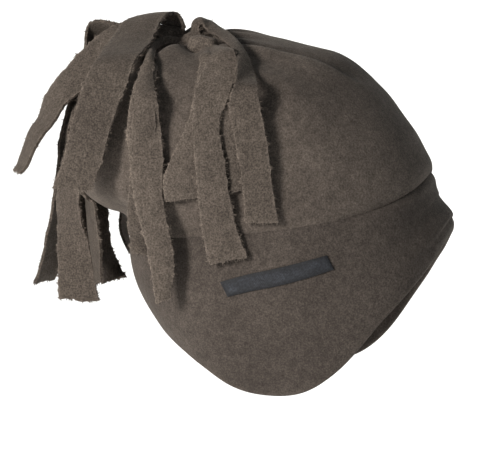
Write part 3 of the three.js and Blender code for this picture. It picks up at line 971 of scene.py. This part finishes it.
def strip_grid(name, rows, seed, skin, ragged, cup_limit=2.2):
    """Points of one cut strip (rows, columns, 3) in mm, its width and its length."""
    fine = np.linspace(0, 1, 600)
    centre = (spline(rows[:, :3], fine) + spline(rows[:, 3:], fine)) / 2
    run = np.concatenate([[0], np.cumsum(np.linalg.norm(np.diff(centre, axis=0), axis=1))])
    length = float(run[-1])
    even = np.linspace(0, 1, STRIP_ROWS + 1)
    t = np.interp(even, run / length, fine)
    left, right = spline(rows[:, :3], t), spline(rows[:, 3:], t)
    grid = cupped(left, right, seed, cup_limit)
    weight = smooth(0.07, 0.2, even)
    if name in STANDS:
        stand = STANDS[name] * smooth(0.16, 0.42, even)
        grid = stand_clear(even_hang(grid), skin, CLEAR, weight, NEAR_SIDE, stand)
    else:
        grid = keep_clear(grid, skin, CLEAR, weight)
    cut_edges(grid, left, right, length, seed, ragged)
    chord = np.linalg.norm(right - left, axis=1)
    return grid, float(chord[even > 0.25].mean()), length


def strip_piece(name, grid, flat):
    """The cloth of one strip, with a painted highlight along its cut edges and tip, in patches,
    and its painted light and shade.
    """
    # Painted highlight: the cut edges and the tip are made about three quarters lighter, in uneven
    # patches.
    rim = np.zeros((STRIP_ROWS + 1, STRIP_COLUMNS + 1))
    rim[:, [0, -1]] = rim[-1] = 1.0
    rim[:, [1, -2]] = np.maximum(rim[:, [1, -2]], 0.3)
    patches = 0.75 + 0.5 * ripple(grid.reshape(-1, 3), 4.0, 31).reshape(rim.shape)
    level = STRIP_PAINTED_LIGHT_AND_SHADE.get(name.removeprefix("strip_"), 1.0) * (1 + 0.75 * rim * patches)

    def cell(u, v):
        return np.round(v * STRIP_ROWS).astype(int), np.round(u * STRIP_COLUMNS).astype(int)

    return cloth_mesh(
        name,
        STRIP_COLUMNS,
        STRIP_ROWS,
        lambda u, v: grid[cell(u, v)],
        flat,
        nap=lambda u, v: level[cell(u, v)],
    )


# Materials.


def new_material(name):
    material = bpy.data.materials.new(name)
    material.use_nodes = True
    tree = material.node_tree
    tree.nodes.clear()
    shader = tree.nodes.new("ShaderNodeBsdfPrincipled")
    output = tree.nodes.new("ShaderNodeOutputMaterial")
    tree.links.new(shader.outputs["BSDF"], output.inputs["Surface"])
    return material, tree, shader


def noise_node(tree, source, size, detail, rough=0.55):
    node = tree.nodes.new("ShaderNodeTexNoise")
    node.inputs["Scale"].default_value = 1.0 / (size * MM)
    node.inputs["Detail"].default_value = detail
    node.inputs["Roughness"].default_value = rough
    tree.links.new(source, node.inputs["Vector"])
    return node


def ramp_node(tree, source, stops):
    node = tree.nodes.new("ShaderNodeValToRGB")
    ramp = node.color_ramp
    while len(ramp.elements) < len(stops):
        ramp.elements.new(0.5)
    for element, (place, color) in zip(ramp.elements, stops):
        element.position = place
        element.color = (*color, 1) if len(color) == 3 else color
    tree.links.new(source, node.inputs["Fac"])
    return node


def multiply_colors(tree, a, b):
    node = tree.nodes.new("ShaderNodeMix")
    node.data_type = "RGBA"
    node.blend_type = "MULTIPLY"
    node.inputs[0].default_value = 1.0
    tree.links.new(a, node.inputs[6])
    tree.links.new(b, node.inputs[7])
    return node.outputs[2]


# Sizes of the fleece's marks, in mm: flecks of nap, tufts, worn clouds, pile and clumps.
FLEECE_MARKS = {"fleck": 1.15, "tuft": 5.5, "cloud": 38, "pile": 0.7, "clump": 3.4}


def fleece_material(name, base, with_painted_light=False, drift=0.30, grain=0.5, bump=0.7):
    """Brushed fleece: a speckled pile with lighter flecks, soft mottling and no gloss. Where
    asked, its colour is scaled by the painted light and shade that the piece carries at its points.
    """
    material, tree, shader = new_material(name)
    place = tree.nodes.new("ShaderNodeTexCoord").outputs["Object"]
    base = np.array(base)

    def shade(share):
        return tuple(np.clip(base * share, 0, 1))

    nap = noise_node(tree, place, FLEECE_MARKS["fleck"], 3, 0.62)
    flecks = ramp_node(
        tree,
        nap.outputs["Fac"],
        (
            (0.28, shade(1 - grain)),
            (0.5, shade(1.0)),
            (0.68, shade(1 + grain)),
            (0.8, shade(1 + 1.9 * grain)),
        ),
    )
    tufts = noise_node(tree, place, FLEECE_MARKS["tuft"], 3)
    mottling = ramp_node(
        tree,
        tufts.outputs["Fac"],
        ((0.3, (1 - drift * 0.6,) * 3), (0.7, (1 + drift * 0.6,) * 3)),
    )
    cloud = noise_node(tree, place, FLEECE_MARKS["cloud"], 2)
    wear = ramp_node(
        tree,
        cloud.outputs["Fac"],
        (
            (0.3, (1 - drift * 0.35, 1 - drift * 0.38, 1 - drift * 0.42)),
            (0.7, (1 + drift * 0.4, 1 + drift * 0.38, 1 + drift * 0.3)),
        ),
    )
    color = multiply_colors(tree, flecks.outputs["Color"], mottling.outputs["Color"])
    color = multiply_colors(tree, color, wear.outputs["Color"])
    # Painted light and shade: the colour is scaled by the factor that the piece carries at each
    # point.
    if with_painted_light:
        painted_light_level = tree.nodes.new("ShaderNodeAttribute")
        painted_light_level.attribute_name = "nap"
        lift = tree.nodes.new("ShaderNodeVectorMath")
        lift.operation = "MULTIPLY"
        tree.links.new(color, lift.inputs[0])
        tree.links.new(painted_light_level.outputs["Fac"], lift.inputs[1])
        color = lift.outputs["Vector"]
    tree.links.new(color, shader.inputs["Base Color"])
    pile = noise_node(tree, place, FLEECE_MARKS["pile"], 4, 0.7)
    clump = noise_node(tree, place, FLEECE_MARKS["clump"], 2)
    height = tree.nodes.new("ShaderNodeMath")
    height.operation = "MULTIPLY_ADD"
    height.inputs[1].default_value = 1.6
    tree.links.new(clump.outputs["Fac"], height.inputs[0])
    tree.links.new(pile.outputs["Fac"], height.inputs[2])
    relief = tree.nodes.new("ShaderNodeBump")
    relief.inputs["Strength"].default_value = bump
    relief.inputs["Distance"].default_value = 0.5 * MM
    tree.links.new(height.outputs[0], relief.inputs["Height"])
    tree.links.new(relief.outputs["Normal"], shader.inputs["Normal"])
    shader.inputs["Roughness"].default_value = 0.95
    shader.inputs["Specular IOR Level"].default_value = 0.12
    shader.inputs["Sheen Weight"].default_value = 0.12
    shader.inputs["Sheen Roughness"].default_value = 0.5
    shader.inputs["Sheen Tint"].default_value = (0.8, 0.72, 0.64, 1)
    return material


def tape_material(name, base):
    """Woven tape: close ribs across the tape, worn paler in its middle, with a soft gloss."""
    material, tree, shader = new_material(name)
    uv = tree.nodes.new("ShaderNodeUVMap")
    uv.uv_map = "cloth"
    ribs = tree.nodes.new("ShaderNodeTexWave")
    ribs.wave_type = "BANDS"
    ribs.bands_direction = "X"
    ribs.inputs["Scale"].default_value = 310
    ribs.inputs["Distortion"].default_value = 0.6
    tree.links.new(uv.outputs["UV"], ribs.inputs["Vector"])
    picks = tree.nodes.new("ShaderNodeTexWave")
    picks.wave_type = "BANDS"
    picks.bands_direction = "Y"
    picks.inputs["Scale"].default_value = 420
    picks.inputs["Distortion"].default_value = 0.5
    tree.links.new(uv.outputs["UV"], picks.inputs["Vector"])
    both = tree.nodes.new("ShaderNodeMath")
    both.operation = "MULTIPLY"
    tree.links.new(ribs.outputs["Fac"], both.inputs[0])
    tree.links.new(picks.outputs["Fac"], both.inputs[1])
    fuzz = noise_node(tree, uv.outputs["UV"], 1.6, 3)
    body = ramp_node(
        tree,
        both.outputs[0],
        ((0.1, tuple(np.array(base) * 0.7)), (0.8, tuple(np.array(base) * 1.5))),
    )
    lint = ramp_node(tree, fuzz.outputs["Fac"], ((0.4, (0.7,) * 3), (0.72, (1.7,) * 3)))
    color = multiply_colors(tree, body.outputs["Color"], lint.outputs["Color"])
    worn = tree.nodes.new("ShaderNodeAttribute")
    worn.attribute_name = "nap"
    lift = tree.nodes.new("ShaderNodeVectorMath")
    lift.operation = "MULTIPLY"
    tree.links.new(color, lift.inputs[0])
    tree.links.new(worn.outputs["Fac"], lift.inputs[1])
    tree.links.new(lift.outputs["Vector"], shader.inputs["Base Color"])
    relief = tree.nodes.new("ShaderNodeBump")
    relief.inputs["Strength"].default_value = 0.6
    relief.inputs["Distance"].default_value = 0.15 * MM
    tree.links.new(both.outputs[0], relief.inputs["Height"])
    tree.links.new(relief.outputs["Normal"], shader.inputs["Normal"])
    shader.inputs["Roughness"].default_value = 0.62
    shader.inputs["Specular IOR Level"].default_value = 0.3
    shader.inputs["Sheen Weight"].default_value = 0.05
    return material


def thread_material(name, base):
    material, tree, shader = new_material(name)
    place = tree.nodes.new("ShaderNodeTexCoord").outputs["Object"]
    twist = noise_node(tree, place, 0.3, 2)
    color = ramp_node(
        tree,
        twist.outputs["Fac"],
        ((0.35, tuple(np.array(base) * 0.7)), (0.65, tuple(np.array(base) * 1.3))),
    )
    tree.links.new(color.outputs["Color"], shader.inputs["Base Color"])
    shader.inputs["Roughness"].default_value = 0.6
    return material


def plain_material(name, base, rough):
    material, tree, shader = new_material(name)
    place = tree.nodes.new("ShaderNodeTexCoord").outputs["Object"]
    soft = noise_node(tree, place, 240, 2)
    color = ramp_node(
        tree,
        soft.outputs["Fac"],
        ((0.3, tuple(np.array(base) * 0.985)), (0.7, tuple(np.array(base) * 1.0))),
    )
    tree.links.new(color.outputs["Color"], shader.inputs["Base Color"])
    shader.inputs["Roughness"].default_value = rough
    return material


def dress(piece, material):
    piece.data.materials.clear()
    piece.data.materials.append(material)


def shared(name, make):
    return bpy.data.materials.get(name) or make()


def fleece(context, kind):
    looks = context.scene.hat_looks
    tint = {
        "crown": looks.crown_color,
        "band": looks.band_color_painted_shade,
        "strip": looks.strip_color,
        "strip napped": looks.strip_color,
        # Painted highlight: the loose fibres get the strips' colour made half again as light.
        "fuzz": tuple(1.5 * part for part in looks.strip_color),
    }[kind]
    name = "fleece " + kind
    grain = 0.60 if kind.startswith("strip") else 0.46
    with_painted_light = kind in ("crown", "band", "strip napped")
    return shared(name, lambda: fleece_material(name, tuple(tint), with_painted_light, grain=grain))


# Settings.


class HatSizes(bpy.types.PropertyGroup):
    """Sizes of the hat that a maker would change."""

    fleece_thick: FloatProperty(
        name="Fleece thickness",
        description="Thickness of one layer of fleece",
        default=2.2 * MM,
        min=0.0005,
        max=0.006,
        unit="LENGTH",
        precision=4,
    )
    hem_tall: FloatProperty(
        name="Hem height",
        description="Height of the cloth turned up inside the rim",
        default=12 * MM,
        min=0.004,
        max=0.03,
        unit="LENGTH",
        precision=4,
    )
    ragged: FloatProperty(
        name="Ragged edges",
        description="How far the scissors' steps stand out along the cut strips",
        default=1.05 * MM,
        min=0.0,
        max=0.003,
        unit="LENGTH",
        precision=4,
    )
    stitch_step: FloatProperty(
        name="Stitch length",
        description="Distance from one hem stitch to the next",
        default=3.4 * MM,
        min=0.001,
        max=0.01,
        unit="LENGTH",
        precision=4,
    )
    fibre_step: FloatProperty(
        name="Fibre spacing",
        description="Distance between loose fibres along the cut edges",
        default=1.1 * MM,
        min=0.0005,
        max=0.01,
        unit="LENGTH",
        precision=4,
    )


class HatLooks(bpy.types.PropertyGroup):
    """Colours of the hat."""

    # Partly painted light: the crown's colour is set a little lighter than the fleece it shares
    # with the band.
    crown_color: FloatVectorProperty(
        name="Crown fleece",
        description="Colour of the crown's fleece",
        subtype="COLOR",
        size=3,
        default=(0.089, 0.074, 0.0645),
        min=0,
        max=1,
    )
    # Painted shade: the band is the crown's fleece, with its colour set about a quarter darker.
    band_color_painted_shade: FloatVectorProperty(
        name="Band fleece",
        description="Colour of the band's fleece",
        subtype="COLOR",
        size=3,
        default=(0.063, 0.0525, 0.0465),
        min=0,
        max=1,
    )
    strip_color: FloatVectorProperty(
        name="Strip fleece",
        description="Colour of the cut strips",
        subtype="COLOR",
        size=3,
        default=(0.085, 0.0705, 0.0605),
        min=0,
        max=1,
    )
    label_color: FloatVectorProperty(
        name="Label tape",
        description="Colour of the label's woven tape",
        subtype="COLOR",
        size=3,
        default=(0.020, 0.022, 0.028),
        min=0,
        max=1,
    )
    thread_color: FloatVectorProperty(
        name="Thread",
        description="Colour of the sewing thread",
        subtype="COLOR",
        size=3,
        default=(0.055, 0.047, 0.042),
        min=0,
        max=1,
    )


# Pieces.


class HAT_OT_crown(bpy.types.Operator):
    """Make the crown, one layer of fleece gathered to the neck"""

    bl_idname = "hat.crown"
    bl_label = "Crown"
    bl_options = {"REGISTER", "UNDO"}

    def execute(self, context):
        thick = context.scene.hat_sizes.fleece_thick / MM

        def place(u, v):
            angle = u * 360
            up = np.clip(v / CROWN_CLOSE["share"], 0, 1)
            points = crown_point(angle, up, np.full_like(u, -thick / 2))
            points[v == 0, 2] += SEAM_GAP
            close = smooth(CROWN_CLOSE["share"], 1, v)[:, None]
            return mix(points, NECK - (0, 0, CROWN_CLOSE["drop"]), close)

        # Painted shade in the valley behind the ridge, about a third darker, and a painted
        # highlight along the ridge's near crest.
        def nap(u, v):
            past = turn(u * 360, np.interp(v, RIDGE[:, 0], RIDGE[:, 1]))
            behind = smooth(-0.5, 2.5, past) * (1 - smooth(16, 44, past))
            rows = smooth(0.44, 0.53, v) * (1 - 0.6 * smooth(0.78, 0.95, v))
            return 1 - 0.34 * behind * rows + 0.10 * hill(past + 4, 4) * rows

        piece = cloth_mesh("crown_cloth", 300, 120, place, (560, 165), closed=True, nap=nap)
        thicken(piece, thick, bevel=0)
        dress(piece, fleece(context, "crown"))
        carry(piece, "crown")
        return {"FINISHED"}


class HAT_OT_band(bpy.types.Operator):
    """Make the band with both ear flaps and the hem turned up inside the rim"""

    bl_idname = "hat.band"
    bl_label = "Band"
    bl_options = {"REGISTER", "UNDO"}

    def execute(self, context):
        sizes = context.scene.hat_sizes
        thick, hem = sizes.fleece_thick / MM, sizes.hem_tall / MM

        def place(u, v):
            angle = u * 360
            depth = band_form(angle, 0)[:, 2] - rim_point(angle)[:, 2]
            outside, inside, roll = HEM["outside"], HEM["inside"], HEM["roll"]
            outer = mix(0.0, 1 - roll / depth, np.clip(v / outside, 0, 1))
            bend = np.clip((v - outside) / (inside - outside), 0, 1) * math.pi
            rise = np.clip((v - inside) / (1 - inside), 0, 1) * (hem - roll)
            short = roll * (1 - np.sin(bend)) + rise
            down = np.where(v < outside, outer, 1 - short / depth)
            out = -thick / 2 - roll * (1 - np.cos(bend)) - HEM["gap"] * (v > inside)
            return band_point(angle, down, out)

        # Painted highlight: a paler line along the roll of the hem at the rim.
        def nap(u, v):
            return 1 + 0.3 * hill(v - HEM["outside"] - 0.01, 0.02)

        piece = cloth_mesh("band_cloth", 300, 96, place, (560, 120), closed=True, nap=nap)
        thicken(piece, thick * 0.98, bevel=0.4)
        dress(piece, fleece(context, "band"))
        carry(piece, "band")
        return {"FINISHED"}


class HAT_OT_hem_stitches(bpy.types.Operator):
    """Sew the hem with a row of short stitches inside the rim"""

    bl_idname = "hat.hem_stitches"
    bl_label = "Hem stitches"
    bl_options = {"REGISTER", "UNDO"}

    def execute(self, context):
        sizes, looks = context.scene.hat_sizes, context.scene.hat_looks
        step, hem = sizes.stitch_step / MM, sizes.hem_tall / MM
        fine = np.linspace(0, 360, 2000)
        depth = band_form(fine, 0)[:, 2] - rim_point(fine)[:, 2]
        inner = -sizes.fleece_thick / MM * 2 - 0.15
        line = band_point(fine, 1 - (hem - 2.2) / depth, np.full_like(fine, inner))
        run = np.concatenate([[0], np.cumsum(np.linalg.norm(np.diff(line, axis=0), axis=1))])
        count = int(run[-1] // step)
        stitches = bmesh.new()
        for i in range(count):
            start, end = (i + 0.15) * run[-1] / count, (i + 0.85) * run[-1] / count
            a, b = (
                Vector([np.interp(s, run, line[:, k]) for k in range(3)]) for s in (start, end)
            )
            turned = (b - a).to_track_quat("Z", "Y").to_matrix().to_4x4()
            size = Matrix.Diagonal((0.32 * MM, 0.32 * MM, (b - a).length * 0.58 * MM, 1))
            bmesh.ops.create_icosphere(
                stitches,
                subdivisions=1,
                radius=1,
                matrix=Matrix.Translation((a + b) / 2 * MM) @ turned @ size,
            )
        for face in stitches.faces:
            face.smooth = True
        piece = finish_mesh("hem_stitches", stitches)
        dress(piece, shared("thread", lambda: thread_material("thread", tuple(looks.thread_color))))
        carry(piece, "band")
        return {"FINISHED"}


class HAT_OT_label(bpy.types.Operator):
    """Make the bare woven label, sewn flat on the wearer's right"""

    bl_idname = "hat.label"
    bl_label = "Label"
    bl_options = {"REGISTER", "UNDO"}

    def execute(self, context):
        looks = context.scene.hat_looks
        front, back = LABEL_ENDS["front"], LABEL_ENDS["back"]

        def spot(along, low, out):
            angle = mix(back[0], front[0], along) + LABEL["lean"] * low
            down = mix(mix(back[1], front[1], along), mix(back[2], front[2], along), low)
            return band_point(angle, down - LABEL["lift"] * along * (1 - along), out)

        def edge(u, v):
            return np.minimum(
                np.minimum(u, 1 - u) * LABEL["long"], np.minimum(v, 1 - v) * LABEL["tall"]
            )

        def waves(u, v, size, seed):
            return ripple(np.stack([u * 60, v * 12, u * 0], 1), size, seed)

        def place(u, v):
            return spot(u, v, 0.5 + 0.28 * smooth(0, 1.6, edge(u, v)) + waves(u, v, 9, 2) * 0.15)

        def nap(u, v):
            worn = 0.75 + 0.7 * waves(u, v, 5, 12)
            return 0.55 + 0.75 * smooth(0.6, 4.5, edge(u, v)) * worn

        piece = cloth_mesh("label_tape", 90, 18, place, LABEL["weave"], nap=nap)
        thicken(piece, LABEL["thick"], bevel=0.15)
        color = tuple(looks.label_color)
        dress(piece, shared("label tape", lambda: tape_material("label tape", color)))
        carry(piece, "label")
        return {"FINISHED"}


class HAT_OT_tie(bpy.types.Operator):
    """Make the wrap, the knot and the hanging ends of the tie"""

    bl_idname = "hat.tie"
    bl_label = "Tie"
    bl_options = {"REGISTER", "UNDO"}

    def execute(self, context):
        sizes = context.scene.hat_sizes
        thick, ragged = sizes.fleece_thick / MM, sizes.ragged / MM
        cloth = fleece(context, "strip")
        lean = Matrix.Rotation(math.radians(WRAP["tilt"]), 3, "Y")

        def place_wrap(u, v):
            ring, section = u * 2 * math.pi, v * 2 * math.pi
            fold = 1 + 0.13 * np.cos(section * 4 + ring * 3) + 0.06 * np.cos(section * 7 - ring * 5)
            wide = WRAP["radius"] + WRAP["thick"] * np.cos(section) * fold
            tall = WRAP["wide"] * np.sin(section) * fold
            flat = np.stack([wide * np.cos(ring), wide * np.sin(ring), tall], axis=1)
            return flat @ np.array(lean).T + NECK - (0, 0, WRAP["low"])

        wrap = cloth_mesh("tie_wrap", 96, 36, place_wrap, (80, 24), closed=True)
        dress(wrap, cloth)
        carry(wrap, "tie")

        knot_data = bmesh.new()
        bmesh.ops.create_uvsphere(knot_data, u_segments=56, v_segments=36, radius=1)
        centre, radii = np.array(KNOT["at"]), np.array(KNOT["radii"])
        tilt = np.array(Matrix.Rotation(math.radians(KNOT["lean"]), 3, "Y"))
        for vert in knot_data.verts:
            p = np.array(vert.co)
            soft = np.sign(p) * np.abs(p) ** 0.7
            bump = 1 + 0.10 * noise.noise(Vector(p) * 1.7) + 0.04 * noise.noise(Vector(p) * 4.5)
            vert.co = Vector(tilt @ (soft * radii * bump) + centre) * MM
        for face in knot_data.faces:
            face.smooth = True
        knot = finish_mesh("tie_knot", knot_data)
        # Painted light: the knot's colour is raised by a quarter.
        knot_painted_light = knot.data.attributes.new("nap", "FLOAT", "POINT")
        knot_painted_light.data.foreach_set("value", [1.25] * len(knot.data.vertices))
        dress(knot, fleece(context, "strip napped"))
        carry(knot, "tie")

        solid = tree_of(bpy.data.objects["crown"], bpy.data.objects["band"])
        skin = tree_of(bpy.data.objects["crown_cloth"], bpy.data.objects["band_cloth"])
        for number, (name, strip) in enumerate(TIE_STRIPS.items()):
            rows = seen_rows(strip, solid)
            cup = 0.8 if name == "tie_tail" else 1.4
            grid, wide, length = strip_grid(name, rows, 40 + number, skin, ragged, cup)
            piece = strip_piece(name, grid, (wide, length))
            thicken(piece, thick)
            dress(piece, fleece(context, "strip napped"))
            carry(piece, "tie")
        return {"FINISHED"}


class HAT_OT_fringe(bpy.types.Operator):
    """Make the cut strips that spring from the neck, and the gathers they spring from"""

    bl_idname = "hat.fringe"
    bl_label = "Fringe"
    bl_options = {"REGISTER", "UNDO"}

    def execute(self, context):
        sizes = context.scene.hat_sizes
        thick, ragged = sizes.fleece_thick / MM, sizes.ragged / MM
        cloth = fleece(context, "strip")

        def place_core(u, v):
            ring, rise = u * 2 * math.pi, v * math.pi / 2
            pleat = 1 + 0.10 * np.cos(ring * GATHERS["pleats"]) + 0.05 * np.cos(ring * 5 + 1)
            wide = GATHERS["radius"] * np.cos(rise) * mix(pleat, 1.0, v)
            high = GATHERS["low"] + GATHERS["tall"] * np.sin(rise)
            return np.stack(
                [wide * np.cos(ring) + GATHERS["middle_x"], wide * np.sin(ring), high], axis=1
            )

        core = cloth_mesh("fringe_gathers", 104, 20, place_core, (60, 14), closed=True)
        thicken(core, 1.2, bevel=0)
        dress(core, cloth)
        carry(core, "fringe")

        solid = tree_of(bpy.data.objects["crown"], bpy.data.objects["band"])
        strips = {name: seen_rows(strip, solid) for name, strip in FRINGE_STRIPS.items()}
        for name, strip in HIDDEN_STRIPS.items():
            strips[name] = hidden_rows(*strip)
        skin = tree_of(bpy.data.objects["crown_cloth"], bpy.data.objects["band_cloth"])
        for number, (name, rows) in enumerate(strips.items()):
            grid, wide, length = strip_grid(name, rows, 60 + number, skin, ragged)
            piece = strip_piece("strip_" + name, grid, (wide, length))
            thicken(piece, thick)
            dress(piece, fleece(context, "strip napped"))
            carry(piece, "fringe")
        return {"FINISHED"}


class HAT_OT_fuzz(bpy.types.Operator):
    """Raise loose fibres along the cut edges of the strips"""

    bl_idname = "hat.fuzz"
    bl_label = "Loose fibres"
    bl_options = {"REGISTER", "UNDO"}

    def execute(self, context):
        step = context.scene.hat_sizes.fibre_step
        for node, start, seed in (("fringe", "strip_", 7), ("tie", "tie_", 8)):
            rng = np.random.default_rng(seed)
            together = bmesh.new()
            for piece in [p for p in bpy.data.objects if p.name.startswith(start)]:
                cloth, fibres = bmesh.new(), bmesh.new()
                cloth.from_mesh(piece.data)
                cloth.normal_update()
                for edge in [e for e in cloth.edges if e.is_boundary]:
                    face = edge.link_faces[0]
                    halfway = (edge.verts[0].co + edge.verts[1].co) / 2
                    away = (halfway - face.calc_center_median()).normalized()
                    for _ in range(rng.poisson(edge.calc_length() / step)):
                        share = rng.random()
                        root = edge.verts[0].co.lerp(edge.verts[1].co, share)
                        side = Vector(rng.normal(0, 0.45, 3))
                        way = (away + side + face.normal * rng.normal(0, 0.5)).normalized()
                        long = float(rng.uniform(*FIBRE["long"])) * MM
                        beside = float(rng.uniform(-FIBRE["beside"], FIBRE["beside"])) * MM
                        middle = root + face.normal * beside + way * (long / 2 - FIBRE["sunk"] * MM)
                        turned = way.to_track_quat("Z", "Y").to_matrix().to_4x4()
                        bmesh.ops.create_cone(
                            fibres,
                            cap_ends=True,
                            segments=3,
                            radius1=float(rng.uniform(*FIBRE["root"])) * MM,
                            radius2=FIBRE["tip"] * MM,
                            depth=long,
                            matrix=Matrix.Translation(middle) @ turned,
                        )
                tuft = bpy.data.meshes.new("tuft")
                fibres.to_mesh(tuft)
                together.from_mesh(tuft)
                bpy.data.meshes.remove(tuft)
                fibres.free()
                cloth.free()
            fuzz = finish_mesh(node + "_fuzz", together)
            dress(fuzz, fleece(context, "fuzz"))
            carry(fuzz, node)
        return {"FINISHED"}


class HAT_OT_stage(bpy.types.Operator):
    """Set the pale floor and sweep, the soft lights and the camera"""

    bl_idname = "hat.stage"
    bl_label = "Stage"
    bl_options = {"REGISTER", "UNDO"}

    def execute(self, context):
        sweep = bmesh.new()
        bmesh.ops.create_grid(sweep, x_segments=1, y_segments=40, size=1)
        for vert in sweep.verts:
            t = (vert.co.y + 1) / 2
            radius = SWEEP["radius"]
            if t < 0.5:
                y, z = mix(SWEEP["front"], SWEEP["bend"], t / 0.5), 0.0
            elif t < 0.8:
                a = (t - 0.5) / 0.3 * math.pi / 2
                y, z = SWEEP["bend"] + radius * math.sin(a), radius * (1 - math.cos(a))
            else:
                y, z = SWEEP["bend"] + radius, radius + (t - 0.8) / 0.2 * SWEEP["wall"]
            vert.co = Vector((vert.co.x * SWEEP["half"], y, z + SWEEP["floor"]))
        for face in sweep.faces:
            face.smooth = True
        floor = finish_mesh("studio_sweep", sweep)
        dress(floor, plain_material("pale paper", (0.86, 0.855, 0.84), 0.9))

        for name, lamp in LAMPS.items():
            data = bpy.data.lights.new(name, "AREA")
            data.shape = "RECTANGLE"
            data.size, data.size_y = lamp["size"]
            data.energy = lamp["power"]
            data.color = lamp["color"]
            light = bpy.data.objects.new(name, data)
            context.scene.collection.objects.link(light)
            light.location = lamp["place"]
            way = Vector(lamp["aim"]) - Vector(lamp["place"])
            light.rotation_euler = way.to_track_quat("-Z", "Y").to_euler()
        paper = bpy.data.collections.new("paper")
        paper.objects.link(floor)
        bpy.data.objects["backdrop"].light_linking.receiver_collection = paper

        world = bpy.data.worlds.new("studio")
        context.scene.world = world
        world.use_nodes = True
        nodes, links = world.node_tree.nodes, world.node_tree.links
        sky = nodes["Background"]
        sky.inputs["Color"].default_value = SKY["color"]
        sky.inputs["Strength"].default_value = SKY["strength"]
        wall = nodes.new("ShaderNodeBackground")
        wall.inputs["Color"].default_value = WALL["color"]
        wall.inputs["Strength"].default_value = WALL["strength"]
        seen, both = nodes.new("ShaderNodeLightPath"), nodes.new("ShaderNodeMixShader")
        links.new(seen.outputs["Is Camera Ray"], both.inputs["Fac"])
        links.new(sky.outputs["Background"], both.inputs[1])
        links.new(wall.outputs["Background"], both.inputs[2])
        links.new(both.outputs["Shader"], nodes["World Output"].inputs["Surface"])

        lens = bpy.data.cameras.new("camera")
        lens.sensor_width = 36
        lens.lens = PICTURE["focal"] * lens.sensor_width / PICTURE["wide"]
        camera = bpy.data.objects.new("camera", lens)
        context.scene.collection.objects.link(camera)
        camera.location = Vector(EYE) * MM
        camera.rotation_euler = Vector(AHEAD).to_track_quat("-Z", "Y").to_euler()
        lens.clip_start, lens.clip_end = 0.05, 30
        context.scene.camera = camera
        context.scene.view_settings.view_transform = "Standard"
        return {"FINISHED"}


class HAT_PT_sidebar(bpy.types.Panel):
    """Sizes, colours and pieces of the hat"""

    bl_label = "Earflap hat"
    bl_idname = "HAT_PT_sidebar"
    bl_space_type = "VIEW_3D"
    bl_region_type = "UI"
    bl_category = "Hat"

    def draw(self, context):
        for group in (context.scene.hat_sizes, context.scene.hat_looks):
            box = self.layout.box()
            for name in group.__annotations__:
                box.prop(group, name)
        column = self.layout.column(align=True)
        for operator in PIECE_OPERATORS:
            column.operator(operator.bl_idname)


PIECE_OPERATORS = (
    HAT_OT_crown,
    HAT_OT_band,
    HAT_OT_hem_stitches,
    HAT_OT_label,
    HAT_OT_tie,
    HAT_OT_fringe,
    HAT_OT_fuzz,
    HAT_OT_stage,
)
CLASSES = (HatSizes, HatLooks, *PIECE_OPERATORS, HAT_PT_sidebar)


def register():
    for item in CLASSES:
        bpy.utils.register_class(item)
    bpy.types.Scene.hat_sizes = PointerProperty(type=HatSizes)
    bpy.types.Scene.hat_looks = PointerProperty(type=HatLooks)


def unregister():
    del bpy.types.Scene.hat_looks
    del bpy.types.Scene.hat_sizes
    for item in reversed(CLASSES):
        bpy.utils.unregister_class(item)


def main():
    register()
    bpy.ops.hat.crown()
    bpy.ops.hat.band()
    bpy.ops.hat.hem_stitches()
    bpy.ops.hat.label()
    bpy.ops.hat.tie()
    bpy.ops.hat.fringe()
    bpy.ops.hat.fuzz()
    bpy.ops.hat.stage()


if __name__ == "__main__":
    main()
